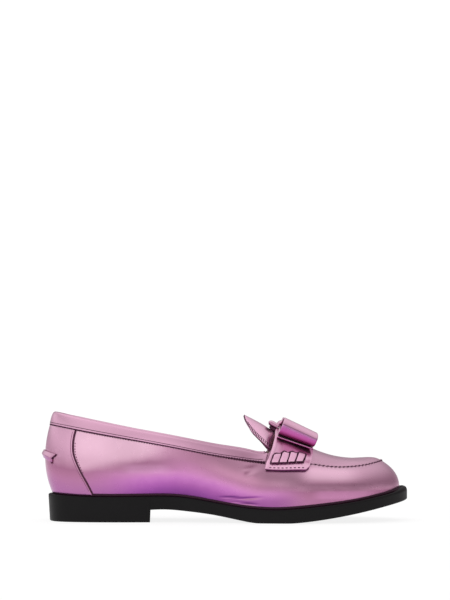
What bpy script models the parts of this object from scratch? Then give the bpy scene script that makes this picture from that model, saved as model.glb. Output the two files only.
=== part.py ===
"""Bow loafer for the right foot: a moulded sole carries an insole and a hollow leather upper, with a
heel counter, collar band, back tab, tongue, saddle strap and ribbon bow sewn to it.

Lengths are metres. x runs from heel to toe, y from the outer side to the inner side, z up from the floor.
"""
import math

import bmesh
import bpy
import numpy as np
from mathutils import Vector

SHOE = "bow_loafer"

# Thicknesses and the clearance between neighbouring pieces
WALL = 0.0017
GAP = 0.0003
COUNTER_THICK = 0.0007
SEWN_GAP = 0.0005
BAND_THICK = 0.0009
TAB_THICK = 0.0008
STRAP_THICK = 0.0014
STRAP_GAP = 0.0007
LACE_THICK = 0.0008
TONGUE_THICK = 0.0018
INSOLE_THICK = 0.0030
RIBBON_THICK = 0.0011
BASE_THICK = 0.0011

# Feather edge, where the upper meets the sole: one row for each section from heel to toe
# section, place along the shoe, outer half-width, inner half-width, ledge of the sole outside it
FEATHER = (
    ("heel_back", -0.1236, 0.0000, 0.0000, 0.0043),
    ("heel_corner", -0.1185, 0.0166, 0.0166, 0.0041),
    ("heel_side", -0.1000, 0.0255, 0.0252, 0.0039),
    ("seat", -0.0680, 0.0278, 0.0265, 0.0036),
    ("waist", -0.0340, 0.0276, 0.0228, 0.0032),
    ("shank", -0.0020, 0.0334, 0.0250, 0.0034),
    ("throat_rear", 0.0105, 0.0364, 0.0284, 0.0037),
    ("throat_corner", 0.0220, 0.0390, 0.0320, 0.0040),
    ("throat_side", 0.0330, 0.0406, 0.0356, 0.0043),
    ("throat_middle", 0.0430, 0.0413, 0.0383, 0.0045),
    ("ball", 0.0580, 0.0408, 0.0400, 0.0046),
    ("tread", 0.0770, 0.0376, 0.0388, 0.0048),
    ("fore", 0.0950, 0.0328, 0.0352, 0.0050),
    ("toe_side", 0.1097, 0.0243, 0.0280, 0.0053),
    ("toe_corner", 0.1207, 0.0130, 0.0172, 0.0055),
    ("toe_tip", 0.1256, -0.0023, 0.0023, 0.0055),
)

# Seam line: under edge of the collar band at the back, apron seam at the front
# section, place along, half-width, height, fullness of the wall below it low down and high up
SEAM = (
    ("heel_back", -0.1256, 0.0000, 0.0694, 0.0067, 0.0055),
    ("heel_corner", -0.1195, 0.0152, 0.0682, 0.0060, 0.0048),
    ("heel_side", -0.1000, 0.0248, 0.0644, 0.0050, 0.0036),
    ("seat", -0.0680, 0.0280, 0.0587, 0.0042, 0.0028),
    ("waist", -0.0340, 0.0302, 0.0526, 0.0040, 0.0022),
    ("shank", -0.0020, 0.0325, 0.0466, 0.0036, 0.0040),
    ("throat_rear", 0.0110, 0.0328, 0.0446, 0.0039, 0.0053),
    ("throat_corner", 0.0230, 0.0328, 0.0429, 0.0042, 0.0068),
    ("throat_side", 0.0325, 0.0325, 0.0423, 0.0046, 0.0090),
    ("throat_middle", 0.0415, 0.0320, 0.0422, 0.0050, 0.0104),
    ("ball", 0.0545, 0.0302, 0.0423, 0.0054, 0.0112),
    ("tread", 0.0700, 0.0274, 0.0400, 0.0056, 0.0110),
    ("fore", 0.0850, 0.0238, 0.0392, 0.0058, 0.0100),
    ("toe_side", 0.0980, 0.0182, 0.0404, 0.0058, 0.0078),
    ("toe_corner", 0.1074, 0.0099, 0.0423, 0.0058, 0.0052),
    ("toe_tip", 0.1119, 0.0000, 0.0434, 0.0058, 0.0043),
)

# Top line: collar and throat edge at the back, ridge of the vamp at the front
# section, place along, half-width, height, fullness of the leather above the seam low down and high up
TOP = (
    ("heel_back", -0.1227, 0.0000, 0.0783, 0.0006, 0.0008),
    ("heel_corner", -0.1172, 0.0126, 0.0774, 0.0006, 0.0008),
    ("heel_side", -0.0988, 0.0208, 0.0735, 0.0005, 0.0007),
    ("seat", -0.0675, 0.0248, 0.0672, 0.0005, 0.0006),
    ("waist", -0.0340, 0.0280, 0.0608, 0.0004, 0.0005),
    ("shank", -0.0020, 0.0303, 0.0550, 0.0004, 0.0005),
    ("throat_rear", 0.0158, 0.0298, 0.0522, 0.0005, 0.0006),
    ("throat_corner", 0.0296, 0.0266, 0.0502, 0.0008, 0.0008),
    ("throat_side", 0.0345, 0.0155, 0.0588, 0.0040, 0.0040),
    ("throat_middle", 0.0360, 0.0000, 0.0647, 0.0060, 0.0072),
    ("ball", 0.0495, 0.0000, 0.0577, 0.0046, 0.0057),
    ("tread", 0.0630, 0.0000, 0.0514, 0.0033, 0.0042),
    ("fore", 0.0750, 0.0000, 0.0471, 0.0026, 0.0028),
    ("toe_side", 0.0860, 0.0000, 0.0452, 0.0022, 0.0017),
    ("toe_corner", 0.0930, 0.0000, 0.0451, 0.0022, 0.0010),
    ("toe_tip", 0.0970, 0.0000, 0.0453, 0.0024, 0.0007),
)
THROAT_ROW = 9

# Steps round the upper between neighbouring sections
UPPER_STEPS = (4, 3, 3, 2, 2, 1, 2, 3, 3, 3, 3, 2, 2, 3, 4)

# Side view of the sole: place along, height
LEDGE_LINE = (
    (-0.1279, 0.0196), (-0.0940, 0.0181), (-0.0530, 0.0184), (-0.0360, 0.0182), (-0.0180, 0.0160),
    (0.0040, 0.0121), (0.0200, 0.0101), (0.0340, 0.0094), (0.0500, 0.0102), (0.0700, 0.0122),
    (0.0900, 0.0149), (0.1110, 0.0189), (0.1240, 0.0217), (0.1311, 0.0235),
)
ARCH_LINE = (
    (-0.0536, 0.0088), (-0.0440, 0.0091), (-0.0270, 0.0078), (-0.0110, 0.0058), (0.0100, 0.0018),
    (0.0240, 0.0000),
)
FLAT_END = 0.0440
TOE_SPRING = 0.0152
TOE_SPRING_BEND = 1.45
SOLE_TIP = 0.1311
BREAST = -0.0536
BREAST_LEAN = 0.0004
BREAST_TURN = 0.0026
BREAST_TURN_REACH = 0.0200
SOLE_LIP = 0.0011
SOLE_TAPER = 0.0010
SOLE_TREAD_ROUND = 0.0010

# Raised apron seam on the upper
SEAM_RISE = 0.0009
SEAM_SPREAD = 0.030
SEAM_FADE_START = 0.0610
SEAM_FADE_END = 0.0640

# Front edge of the heel counter: share of the wall height, place along
COUNTER_EDGE = (
    (0.00, -0.0940), (0.17, -0.0977), (0.33, -0.1020), (0.50, -0.1060), (0.63, -0.1081),
    (0.75, -0.1085), (0.88, -0.1079), (1.00, -0.1065),
)
COUNTER_FOOT = 0.02
COUNTER_HEAD = 0.985
BAND_END = 0.0278

# Back tab: a pinched strip across the back seam
TAB_END = -0.1198
TAB_MIDDLE = 0.578
TAB_SAG = 0.055
TAB_HALF_HEIGHT = 0.054
TAB_PINCH = 0.0014
TAB_WIDEN = 0.45

# Saddle strap: share of the way from ridge to tab end, rear edge, front edge
STRAP_EDGES = (
    (0.00, 0.0364, 0.0620), (0.30, 0.0355, 0.0618), (0.60, 0.0322, 0.0611), (0.85, 0.0292, 0.0595),
    (0.94, 0.0284, 0.0585), (1.00, 0.0279, 0.0560),
)
STRAP_TAB_REACH = 0.805
STRAP_TAB_DROP = 0.050

# Lace loops on the tabs: the slits between them, place along at the loops' middle height
LACE_SLITS = (0.0331, 0.0389, 0.0448, 0.0503, 0.0561)
LACE_SLIT_WIDTH = 0.0010
LACE_LEAN = 0.0018
LACE_LOW = 0.965
LACE_HIGH = 1.215
LACE_CROWN = 0.0008

# Tongue: place along, ridge height, half-width, fall from ridge to edge
TONGUE = (
    (0.0141, 0.0757, 0.0020, 0.0010),
    (0.0147, 0.0754, 0.0058, 0.0039),
    (0.0159, 0.0748, 0.0090, 0.0063),
    (0.0178, 0.0739, 0.0122, 0.0085),
    (0.0207, 0.0724, 0.0158, 0.0107),
    (0.0250, 0.0701, 0.0200, 0.0126),
    (0.0290, 0.0677, 0.0224, 0.0138),
    (0.0316, 0.0660, 0.0222, 0.0148),
    (0.0332, 0.0640, 0.0214, 0.0148),
    (0.0353, 0.0590, 0.0204, 0.0124),
    (0.0400, 0.0566, 0.0185, 0.0094),
    (0.0450, 0.0550, 0.0160, 0.0066),
)

# Bow: its place on the ridge, its tilt, and its strips as sideways place and height above the ridge
BOW_X = 0.0500
BOW_Z = 0.0581
BOW_TILT = math.radians(23.0)
LOOP_PATH = (
    (0.0000, 0.0062), (0.0048, 0.0064), (0.0100, 0.0084), (0.0156, 0.0104), (0.0204, 0.0100),
    (0.0232, 0.0072), (0.0235, 0.0033), (0.0226, 0.0006), (0.0206, 0.0001), (0.0178, 0.0014),
    (0.0144, 0.0029), (0.0098, 0.0042), (0.0048, 0.0048), (0.0000, 0.0049),
)
BASE_PATH = (
    (0.0000, 0.0035), (0.0050, 0.0032), (0.0090, 0.0025), (0.0120, 0.0018), (0.0150, 0.0008),
    (0.0180, -0.0004), (0.0206, -0.0015), (0.0234, -0.0024),
)
LOOP_REAR = -0.0134
LOOP_FRONT = 0.0138
LOOP_REAR_SWEEP = 0.0010
LOOP_FRONT_SWEEP = 0.0050
LOOP_TAPER = 0.14
LOOP_MIDDLE = 0.0047
BOW_HALF = 0.0235
# Knot: place along, height and half-thickness of the padded band
KNOT_BAND = (
    (-0.0220, 0.0044, 0.0006), (-0.0213, 0.0043, 0.0018), (-0.0200, 0.0042, 0.0025),
    (-0.0186, 0.0041, 0.0028), (-0.0174, 0.0045, 0.0026), (-0.0162, 0.0064, 0.0014),
    (-0.0143, 0.0084, 0.0011), (-0.0120, 0.0087, 0.0012), (-0.0060, 0.0086, 0.0012),
    (0.0000, 0.0085, 0.0012), (0.0065, 0.0084, 0.0012), (0.0106, 0.0076, 0.0013),
    (0.0127, 0.0054, 0.0014), (0.0131, 0.0036, 0.0011), (0.0129, 0.0025, 0.0008),
)
KNOT_HALF_WIDTH = 0.0046
# Section of the band: share of its half-width, share of its half-thickness
KNOT_SECTION = (
    (-1.0, 0.0), (-0.88, 0.75), (-0.5, 1.0), (0.5, 1.0), (0.88, 0.75),
    (1.0, 0.0), (0.88, -0.75), (0.5, -1.0), (-0.5, -1.0), (-0.88, -0.75),
)


class Spline:
    """Cubic through rows of values with continuous curvature, open or closed after one period."""

    def __init__(self, places, values, period=None, last_slope=None):
        x = np.asarray(places, float)
        y = np.asarray(values, float).reshape(len(x), -1)
        if period is not None:
            x = np.append(x, x[0] + period)
            y = np.vstack([y, y[:1]])
        step = np.diff(x)
        rise = np.diff(y, axis=0) / step[:, None]
        count = len(x)
        weights = np.zeros((count, count))
        wanted = np.zeros_like(y)
        for i in range(1, count - 1):
            weights[i, i - 1] = 1 / step[i - 1]
            weights[i, i] = 2 / step[i - 1] + 2 / step[i]
            weights[i, i + 1] = 1 / step[i]
            wanted[i] = 3 * (rise[i - 1] / step[i - 1] + rise[i] / step[i])
        if period is None:
            weights[0, 0], weights[0, 1] = 2, 1
            wanted[0] = 3 * rise[0]
            weights[-1, -1], weights[-1, -2] = 2, 1
            wanted[-1] = 3 * rise[-1]
            if last_slope is not None:
                weights[-1, -2:] = 0, 1
                wanted[-1] = last_slope
        else:
            weights[0, 0], weights[0, -1] = 1, -1
            weights[-1, -2] = 1 / step[-1]
            weights[-1, 0] = 2 / step[-1] + 2 / step[0]
            weights[-1, 1] = 1 / step[0]
            wanted[-1] = 3 * (rise[-1] / step[-1] + rise[0] / step[0])
        self.x, self.y, self.period = x, y, period
        self.slope = np.linalg.solve(weights, wanted)

    def __call__(self, place):
        if self.period is not None:
            place = self.x[0] + (place - self.x[0]) % self.period
        i = int(np.clip(np.searchsorted(self.x, place) - 1, 0, len(self.x) - 2))
        h = self.x[i + 1] - self.x[i]
        t = (place - self.x[i]) / h
        start, end = self.y[i], self.y[i + 1]
        leave, arrive = self.slope[i] * h, self.slope[i + 1] * h
        bend = 2 * start - 2 * end + leave + arrive
        turn = -3 * start + 3 * end - 2 * leave - arrive
        return ((bend * t + turn) * t + leave) * t + start


def smooth_step(low, high, value):
    share = min(1.0, max(0.0, (value - low) / (high - low)))
    return share * share * (3 - 2 * share)


ledge_height = Spline([row[0] for row in LEDGE_LINE], [row[1] for row in LEDGE_LINE])
arch_height = Spline([row[0] for row in ARCH_LINE], [row[1] for row in ARCH_LINE], last_slope=0.0)


def sole_bottom(x):
    """Height of the tread ahead of the heel: arch, flat under the ball, then toe spring."""
    if x < ARCH_LINE[-1][0]:
        return float(arch_height(x)[0])
    if x < FLAT_END:
        return 0.0
    return TOE_SPRING * ((x - FLAT_END) / (SOLE_TIP - FLAT_END)) ** TOE_SPRING_BEND


# Distance round the feather edge from the heel to each section
SECTION_PLACES = [0.0]
for near, far in zip(FEATHER[:-1], FEATHER[1:]):
    half_near = (near[2] + near[3]) / 2
    half_far = (far[2] + far[3]) / 2
    SECTION_PLACES.append(SECTION_PLACES[-1] + math.hypot(far[1] - near[1], half_far - half_near))
TOE_PLACE = SECTION_PLACES[-1]
THROAT_PLACE = SECTION_PLACES[THROAT_ROW]


def round_loop(outer_rows, inner_rows, places, last):
    """Closed spline that goes forward along the outer rows and back along the inner ones."""
    period = 2 * places[last]
    loop_places = list(places[: last + 1]) + [period - places[i] for i in range(last - 1, 0, -1)]
    rows = [outer_rows[i] for i in range(last + 1)] + [inner_rows[i] for i in range(last - 1, 0, -1)]
    return Spline(loop_places, rows, period)


LAST_ROW = len(FEATHER) - 1
feather_loop = round_loop([(row[1], -row[2], row[4]) for row in FEATHER],
                          [(row[1], row[3], row[4]) for row in FEATHER], SECTION_PLACES, LAST_ROW)
seam_loop = round_loop([(row[1], -row[2], row[3], row[4], row[5]) for row in SEAM],
                       [(row[1], row[2], row[3], row[4], row[5]) for row in SEAM], SECTION_PLACES, LAST_ROW)
fullness_loop = round_loop([row[4:6] for row in TOP], [row[4:6] for row in TOP], SECTION_PLACES, LAST_ROW)
opening_loop = round_loop([(row[1], -row[2], row[3]) for row in TOP],
                          [(row[1], row[2], row[3]) for row in TOP], SECTION_PLACES, THROAT_ROW)
ridge_line = Spline(SECTION_PLACES[THROAT_ROW:], [(row[1], 0.0, row[3]) for row in TOP[THROAT_ROW:]],
                    last_slope=0.0)


def side_place(q):
    """Place from the heel and side sign for a place round the loop."""
    q = q % (2 * TOE_PLACE)
    return (q, -1) if q <= TOE_PLACE else (2 * TOE_PLACE - q, 1)


def round_place(place, side):
    return place if side < 0 else 2 * TOE_PLACE - place


def feather_edge(q):
    """Point, outward direction and sole ledge on the feather edge."""
    here = feather_loop(q)
    along = feather_loop(q + 1e-5) - feather_loop(q - 1e-5)
    outward = np.array([along[1], -along[0], 0.0])
    outward /= np.linalg.norm(outward)
    point = np.array([here[0], here[1], float(ledge_height(here[0])[0]) + GAP])
    return point, outward, here[2]


def top_point(q):
    place, side = side_place(q)
    if place >= THROAT_PLACE:
        return ridge_line(place)
    return opening_loop(place if side < 0 else 2 * THROAT_PLACE - place)


def full_curve(start, end, low, high, outward, share):
    """Cubic from start to end, filled out at its two thirds."""
    reach = end - start
    across = float(np.dot(reach, outward))
    fill = outward * reach[2] - np.array([0.0, 0.0, 1.0]) * across
    fill = fill / np.linalg.norm(fill)
    first = start + reach / 3 + fill * low
    second = start + reach * (2 / 3) + fill * high
    rest = 1 - share
    return (start * rest ** 3 + first * 3 * share * rest ** 2 + second * 3 * share ** 2 * rest
            + end * share ** 3)


def last_point(q, w):
    """Leather surface: w runs 0 at the feather edge, 1 at the seam line, 2 at the top line."""
    foot, outward, _ = feather_edge(q)
    seam = seam_loop(q)
    if w <= 1.0:
        return full_curve(foot, seam[:3], seam[3], seam[4], outward, w)
    low, high = fullness_loop(q)
    return full_curve(seam[:3], top_point(q), low, high, outward, w - 1.0)


def plain_normal(q, w):
    step_q = 2e-4
    step_w = 4e-3
    low = max(0.0, w - step_w)
    high = min(2.0, w + step_w)
    if w <= 1.0:
        high = min(1.0, high)
    else:
        low = max(1.0, low)
    along = last_point(q + step_q, w) - last_point(q - step_q, w)
    up = last_point(q, high) - last_point(q, low)
    normal = np.cross(along, up)
    return normal / np.linalg.norm(normal)


def surface_normal(q, w):
    place, side = side_place(q)
    if w > 1.9995 and place > THROAT_PLACE:
        inner = min(place, TOE_PLACE - 3e-4)
        normal = plain_normal(inner, 1.985) + plain_normal(round_place(inner, 1), 1.985)
        normal[1] = 0.0
        return normal / np.linalg.norm(normal)
    if abs(w - 1.0) < 0.004:
        normal = plain_normal(q, 0.99) + plain_normal(q, 1.01)
        return normal / np.linalg.norm(normal)
    if w > 1.9995:
        return plain_normal(q, 1.985)
    return plain_normal(q, w)


def upper_point(q, w, lift=0.0):
    point = last_point(q, w)
    if lift:
        point = point + surface_normal(q, w) * lift
    return point


def place_at(side, w, x):
    """Place round the shoe, on one side, where the surface at w lies at x."""
    low, high = 0.0, TOE_PLACE
    for _ in range(40):
        middle = (low + high) / 2
        if last_point(round_place(middle, side), w)[0] < x:
            low = middle
        else:
            high = middle
    return round_place((low + high) / 2, side)


def table_value(table, place, column):
    return float(np.interp(place, [row[0] for row in table], [row[column] for row in table]))


def spread(start, end, count):
    return [start + (end - start) * i / count for i in range(count + 1)]


def finish_object(name, mesh, material):
    shape = bpy.data.objects.new(name, mesh)
    shape.data.materials.append(material)
    shoe_parts.objects.link(shape)
    shape.parent = shoe_root
    return shape


def sheet(name, grid, material, thickness, side, closed=False):
    """Open surface over a grid of points, thickened to a solid: side 1 grows outward, -1 inward."""
    bm = bmesh.new()
    rows = [[bm.verts.new(Vector(point)) for point in row] for row in grid]
    count = len(rows) if closed else len(rows) - 1
    for i in range(count):
        here, ahead = rows[i], rows[(i + 1) % len(rows)]
        for j in range(len(here) - 1):
            bm.faces.new((here[j], ahead[j], ahead[j + 1], here[j + 1]))
    bmesh.ops.remove_doubles(bm, verts=bm.verts, dist=1e-6)
    mesh = bpy.data.meshes.new(name)
    bm.to_mesh(mesh)
    bm.free()
    shape = finish_object(name, mesh, material)
    thicken = shape.modifiers.new("thickness", "SOLIDIFY")
    thicken.thickness = thickness
    thicken.offset = side
    thicken.use_even_offset = True
    return shape


def leather(name, colour, metallic, roughness):
    material = bpy.data.materials.new(name)
    material.use_nodes = True
    shader = material.node_tree.nodes["Principled BSDF"]
    shader.inputs["Base Color"].default_value = (*colour, 1.0)
    shader.inputs["Metallic"].default_value = metallic
    shader.inputs["Roughness"].default_value = roughness
    return material


def section_places(cuts):
    """Places from heel to toe, with the given number of steps between neighbouring sections."""
    places = [0.0]
    for start, end, count in zip(SECTION_PLACES[:-1], SECTION_PLACES[1:], cuts):
        places += spread(start, end, count)[1:]
    return places


def build_sole():
    """Moulded sole and heel: rings of edge points closed above and below by rows across the shoe."""
    places = section_places((5, 4, 3, 3, 3, 1, 2, 2, 2, 2, 3, 3, 3, 4, 5))
    breast = place_at(-1, 0.0, BREAST)
    places = [place for place in places if abs(place - breast) > 0.004]
    places = sorted(places + [breast, breast + BREAST_LEAN])
    across = 6
    bm = bmesh.new()

    def edge_rings(q, heel):
        point, outward, ledge = feather_edge(q)
        rim = point + outward * ledge
        top = float(ledge_height(rim[0])[0])
        bottom = 0.0 if heel else sole_bottom(rim[0])
        levels = ((SOLE_LIP, top), (0.0, top - SOLE_LIP), (SOLE_TAPER, bottom + SOLE_TREAD_ROUND),
                  (SOLE_TAPER + SOLE_TREAD_ROUND, bottom))
        return [np.array([rim[0] - outward[0] * inset, rim[1] - outward[1] * inset, z])
                for inset, z in levels]

    def cap_row(outer, inner, is_top, heel):
        row = []
        for share in spread(0.0, 1.0, across):
            point = outer * (1 - share) + inner * share
            if 0 < share < 1:
                if is_top:
                    point[2] = float(ledge_height(point[0])[0])
                else:
                    point[2] = 0.0 if heel else sole_bottom(point[0])
            row.append(bm.verts.new(Vector(point)))
        return row

    outer_rows, inner_rows, top_rows, tread_rows = [], [], [], []
    for place in places:
        heel = place <= breast + BREAST_LEAN / 2
        outer = edge_rings(round_place(place, -1), heel)
        turn = BREAST_TURN * math.exp(-((place - breast) / BREAST_TURN_REACH) ** 2)
        inner = edge_rings(round_place(place - turn, 1), heel)
        top = cap_row(outer[0], inner[0], True, heel)
        tread = cap_row(outer[-1], inner[-1], False, heel)
        top_rows.append(top)
        tread_rows.append(tread)
        outer_rows.append([top[0]] + [bm.verts.new(Vector(point)) for point in outer[1:-1]] + [tread[0]])
        inner_rows.append([top[-1]] + [bm.verts.new(Vector(point)) for point in inner[1:-1]] + [tread[-1]])
    for rows, turned in ((outer_rows, True), (inner_rows, False), (top_rows, False), (tread_rows, True)):
        for here, ahead in zip(rows[:-1], rows[1:]):
            for j in range(len(here) - 1):
                corners = [here[j], ahead[j], ahead[j + 1], here[j + 1]]
                bm.faces.new(corners[::-1] if turned else corners)
    bmesh.ops.remove_doubles(bm, verts=bm.verts, dist=1e-6)
    bmesh.ops.recalc_face_normals(bm, faces=bm.faces)
    mesh = bpy.data.meshes.new("sole")
    bm.to_mesh(mesh)
    bm.free()
    finish_object("sole", mesh, black_rubber)


def build_insole():
    inset = WALL + 0.0006
    grid = []
    for place in section_places((4, 3, 2, 2, 2, 1, 1, 1, 1, 2, 2, 2, 2, 3, 4)):
        ends = []
        for side in (-1, 1):
            point, outward, _ = feather_edge(round_place(place, side))
            ends.append(point - outward * inset)
        row = []
        for share in spread(0.0, 1.0, 4):
            point = ends[0] * (1 - share) + ends[1] * share
            point[2] = float(ledge_height(point[0])[0]) + GAP
            row.append(point)
        grid.append(row)
    sheet("insole", grid, lining_leather, INSOLE_THICK, 1)


def seam_lift(q, w):
    """Height of the raised apron seam above the leather."""
    ahead = smooth_step(SEAM_FADE_START, SEAM_FADE_END, float(seam_loop(q)[0]))
    return SEAM_RISE * ahead * math.exp(-((w - 1.0) / SEAM_SPREAD) ** 2)


def build_upper():
    places = section_places(UPPER_STEPS)
    heights = [0.0, 0.16, 0.33, 0.50, 0.66, 0.82, 0.94, 0.975, 1.0, 1.025, 1.07, 1.2, 1.35, 1.5, 1.65,
               1.8, 2.0]
    loop = places + [2 * TOE_PLACE - place for place in places[-2:0:-1]]
    grid = [[upper_point(q, w, seam_lift(q, w)) for w in heights] for q in loop]
    sheet("upper", grid, pink_leather, WALL, -1, closed=True)


def build_counter():
    heights = [COUNTER_FOOT, 0.15, 0.3, 0.45, 0.6, 0.75, 0.88, COUNTER_HEAD]
    grid = []
    for share in spread(-1.0, 1.0, 16):
        row = []
        for w in heights:
            edge = place_at(-1, w, table_value(COUNTER_EDGE, w, 1))
            row.append(upper_point(edge * share, w, SEWN_GAP))
        grid.append(row)
    sheet("heel_counter", grid, pink_leather, COUNTER_THICK, 1)


def build_collar_band():
    end = place_at(-1, 1.0, BAND_END)
    back = [place for place in section_places(UPPER_STEPS) if place < end - 0.003]
    places = [-place for place in [end] + back[:0:-1]] + back + [end]
    grid = [[upper_point(q, w, SEWN_GAP) for w in (1.0, 1.33, 1.67, 2.0)] for q in places]
    sheet("collar_band", grid, pink_leather, BAND_THICK, 1)


def build_tab():
    base = SEWN_GAP + COUNTER_THICK + SEWN_GAP
    end = place_at(-1, TAB_MIDDLE, TAB_END)
    grid = []
    for share in spread(-1.0, 1.0, 12):
        row = []
        for rise in spread(-1.0, 1.0, 6):
            half = TAB_HALF_HEIGHT * (1 + TAB_WIDEN * share ** 2)
            w = TAB_MIDDLE - TAB_SAG * share ** 2 + half * rise
            pinch = TAB_PINCH * (1 - abs(rise)) ** 1.3 * (1 - 0.8 * share ** 2)
            row.append(upper_point(end * share, w, base + pinch))
        grid.append(row)
    sheet("heel_tab", grid, pink_leather, TAB_THICK, 1)


def strap_place(side, reach, share):
    """Place round the shoe and w for a point on the strap: reach 0 at the ridge, 1 at the tab end."""
    w = 2.0 - (2.0 - STRAP_TAB_REACH + STRAP_TAB_DROP * share) * reach
    rear = table_value(STRAP_EDGES, reach, 1)
    front = table_value(STRAP_EDGES, reach, 2)
    return place_at(side, w, rear + (front - rear) * share), w


def build_strap():
    reaches = [1.0, 0.95, 0.88, 0.8, 0.7, 0.6, 0.5, 0.4, 0.3, 0.2, 0.1]
    stops = [(-1, reach) for reach in reaches] + [(-1, 0.0)] + [(1, reach) for reach in reaches[::-1]]
    grid = []
    for share in (0.0, 0.07, 0.16, 0.30, 0.46, 0.62, 0.80, 1.0):
        row = []
        for side, reach in stops:
            q, w = strap_place(side, reach, share)
            row.append(upper_point(q, w, STRAP_GAP))
        grid.append(row)
    sheet("saddle_strap", grid, pink_leather, STRAP_THICK, 1)


def build_laces():
    base = STRAP_GAP + STRAP_THICK + SEWN_GAP
    for side, side_name in ((-1, "outer"), (1, "inner")):
        for number, (rear, front) in enumerate(zip(LACE_SLITS[:-1], LACE_SLITS[1:]), 1):
            grid = []
            for share in spread(0.0, 1.0, 3):
                row = []
                for rise in spread(0.0, 1.0, 4):
                    w = LACE_LOW + (LACE_HIGH - LACE_LOW) * rise
                    start = rear + LACE_SLIT_WIDTH / 2
                    x = start + (front - rear - LACE_SLIT_WIDTH) * share + LACE_LEAN * (rise - 0.5)
                    crown = LACE_CROWN * math.sin(math.pi * rise) * (1 - 0.5 * (2 * share - 1) ** 4)
                    row.append(upper_point(place_at(side, w, x), w, base + crown))
                grid.append(row)
            if side > 0:
                grid = grid[::-1]
            sheet(f"strap_lace_{side_name}_{number}", grid, pink_leather, LACE_THICK, 1)


def build_tongue():
    table = Spline([row[0] for row in TONGUE], [row[1:] for row in TONGUE])
    places = [0.0141, 0.0147, 0.0157, 0.0174, 0.0197, 0.0223, 0.0250, 0.0275, 0.0300, 0.0318, 0.0333,
              0.0353, 0.0380, 0.0415, 0.0450]
    grid = []
    for x in places:
        ridge, half, fall = table(x)
        shares = spread(-1.0, 1.0, 10)
        grid.append([np.array([x, half * share, ridge - fall * share ** 2]) for share in shares])
    sheet("tongue", grid, pink_leather, TONGUE_THICK, -1)


def bow_point(along, across, height):
    turn, rise = math.cos(BOW_TILT), math.sin(BOW_TILT)
    return np.array([BOW_X + along * turn + height * rise, across, BOW_Z - along * rise + height * turn])


def swept_edges(across):
    """Rear and front edge of the ribbon, swept back towards the middle of the bow."""
    middle = 1 - min(1.0, abs(across) / BOW_HALF) ** 1.6
    return LOOP_REAR - LOOP_REAR_SWEEP * middle, LOOP_FRONT - LOOP_FRONT_SWEEP * middle


def ribbon_row(across, height, steps):
    """Points across the ribbon, which stands taller at the rear than at the front of each loop."""
    rear, front = swept_edges(across)
    taper = LOOP_TAPER * min(1.0, abs(across) / BOW_HALF) * (height - LOOP_MIDDLE)
    return [bow_point(along, across, height + taper * along / LOOP_REAR)
            for along in spread(rear, front, steps)]


def path_points(path, count):
    """Even points along a smooth path through a table of places."""
    rows = np.array(path)
    lengths = np.concatenate([[0.0], np.cumsum(np.linalg.norm(np.diff(rows, axis=0), axis=1))])
    curve = Spline(lengths, rows)
    return [curve(place) for place in spread(0.0, lengths[-1], count)]


def build_bow():
    mirrored = [(-across, height) for across, height in LOOP_PATH[1:-1]]
    ring = list(LOOP_PATH) + mirrored[::-1]
    rows = np.array(ring + ring[:1])
    lengths = np.concatenate([[0.0], np.cumsum(np.linalg.norm(np.diff(rows, axis=0), axis=1))])
    curve = Spline(lengths[:-1], rows[:-1], lengths[-1])
    loop = [curve(place) for place in spread(0.0, lengths[-1], 48)[:-1]]
    sheet("bow_loops", [ribbon_row(across, height, 2) for across, height in loop], pink_leather,
          RIBBON_THICK, 0, closed=True)

    half = path_points(BASE_PATH, 8)
    strip = [(-across, height) for across, height in half[:0:-1]] + list(half)
    base = [ribbon_row(across, height, 3) for across, height in strip]
    sheet("bow_base", base, pink_leather, BASE_THICK, 0)

    build_knot()


def build_knot():
    """Padded band round the middle of the bow: outer and inner face, two sides and two ends."""
    rows = path_points(KNOT_BAND, 32)
    middle = np.array([row[:2] for row in rows])
    along = np.gradient(middle, axis=0)
    along /= np.linalg.norm(along, axis=1)[:, None]
    outward = np.column_stack([-along[:, 1], along[:, 0]])
    bm = bmesh.new()
    rings = []
    for here, out, row in zip(middle, outward, rows):
        ring = []
        for across, lift in KNOT_SECTION:
            point = here + out * row[2] * lift
            ring.append(bm.verts.new(Vector(bow_point(point[0], across * KNOT_HALF_WIDTH, point[1]))))
        rings.append(ring)
    count = len(KNOT_SECTION)
    for here, ahead in zip(rings[:-1], rings[1:]):
        for j in range(count):
            bm.faces.new((here[j], ahead[j], ahead[(j + 1) % count], here[(j + 1) % count]))
    bm.faces.new(rings[0])
    bm.faces.new(rings[-1][::-1])
    bmesh.ops.recalc_face_normals(bm, faces=bm.faces)
    mesh = bpy.data.meshes.new("bow_knot")
    bm.to_mesh(mesh)
    bm.free()
    finish_object("bow_knot", mesh, pink_leather)


for old in list(bpy.data.objects):
    bpy.data.objects.remove(old)
shoe_parts = bpy.data.collections.new(SHOE)
bpy.context.scene.collection.children.link(shoe_parts)
shoe_root = bpy.data.objects.new("shoe_root", None)
shoe_parts.objects.link(shoe_root)

pink_leather = leather("pink_leather", (0.72, 0.36, 0.56), 0.8, 0.3)
lining_leather = leather("lining_leather", (0.55, 0.42, 0.36), 0.0, 0.6)
black_rubber = leather("black_rubber", (0.012, 0.011, 0.012), 0.0, 0.5)

build_sole()
build_insole()
build_upper()
build_counter()
build_collar_band()
build_tab()
build_tongue()
build_strap()
build_laces()
build_bow()


def centre_over_origin():
    """Moves the whole shoe so that the middle of its length and width stands over the origin."""
    ready = bpy.context.evaluated_depsgraph_get()
    corners = [Vector(corner) for shape in shoe_parts.objects if shape.type == "MESH"
               for corner in shape.evaluated_get(ready).bound_box]
    middle = [(min(c[i] for c in corners) + max(c[i] for c in corners)) / 2 for i in range(2)]
    shoe_root.location = (-middle[0], -middle[1], 0.0)


centre_over_origin()
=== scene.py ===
import math

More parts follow.
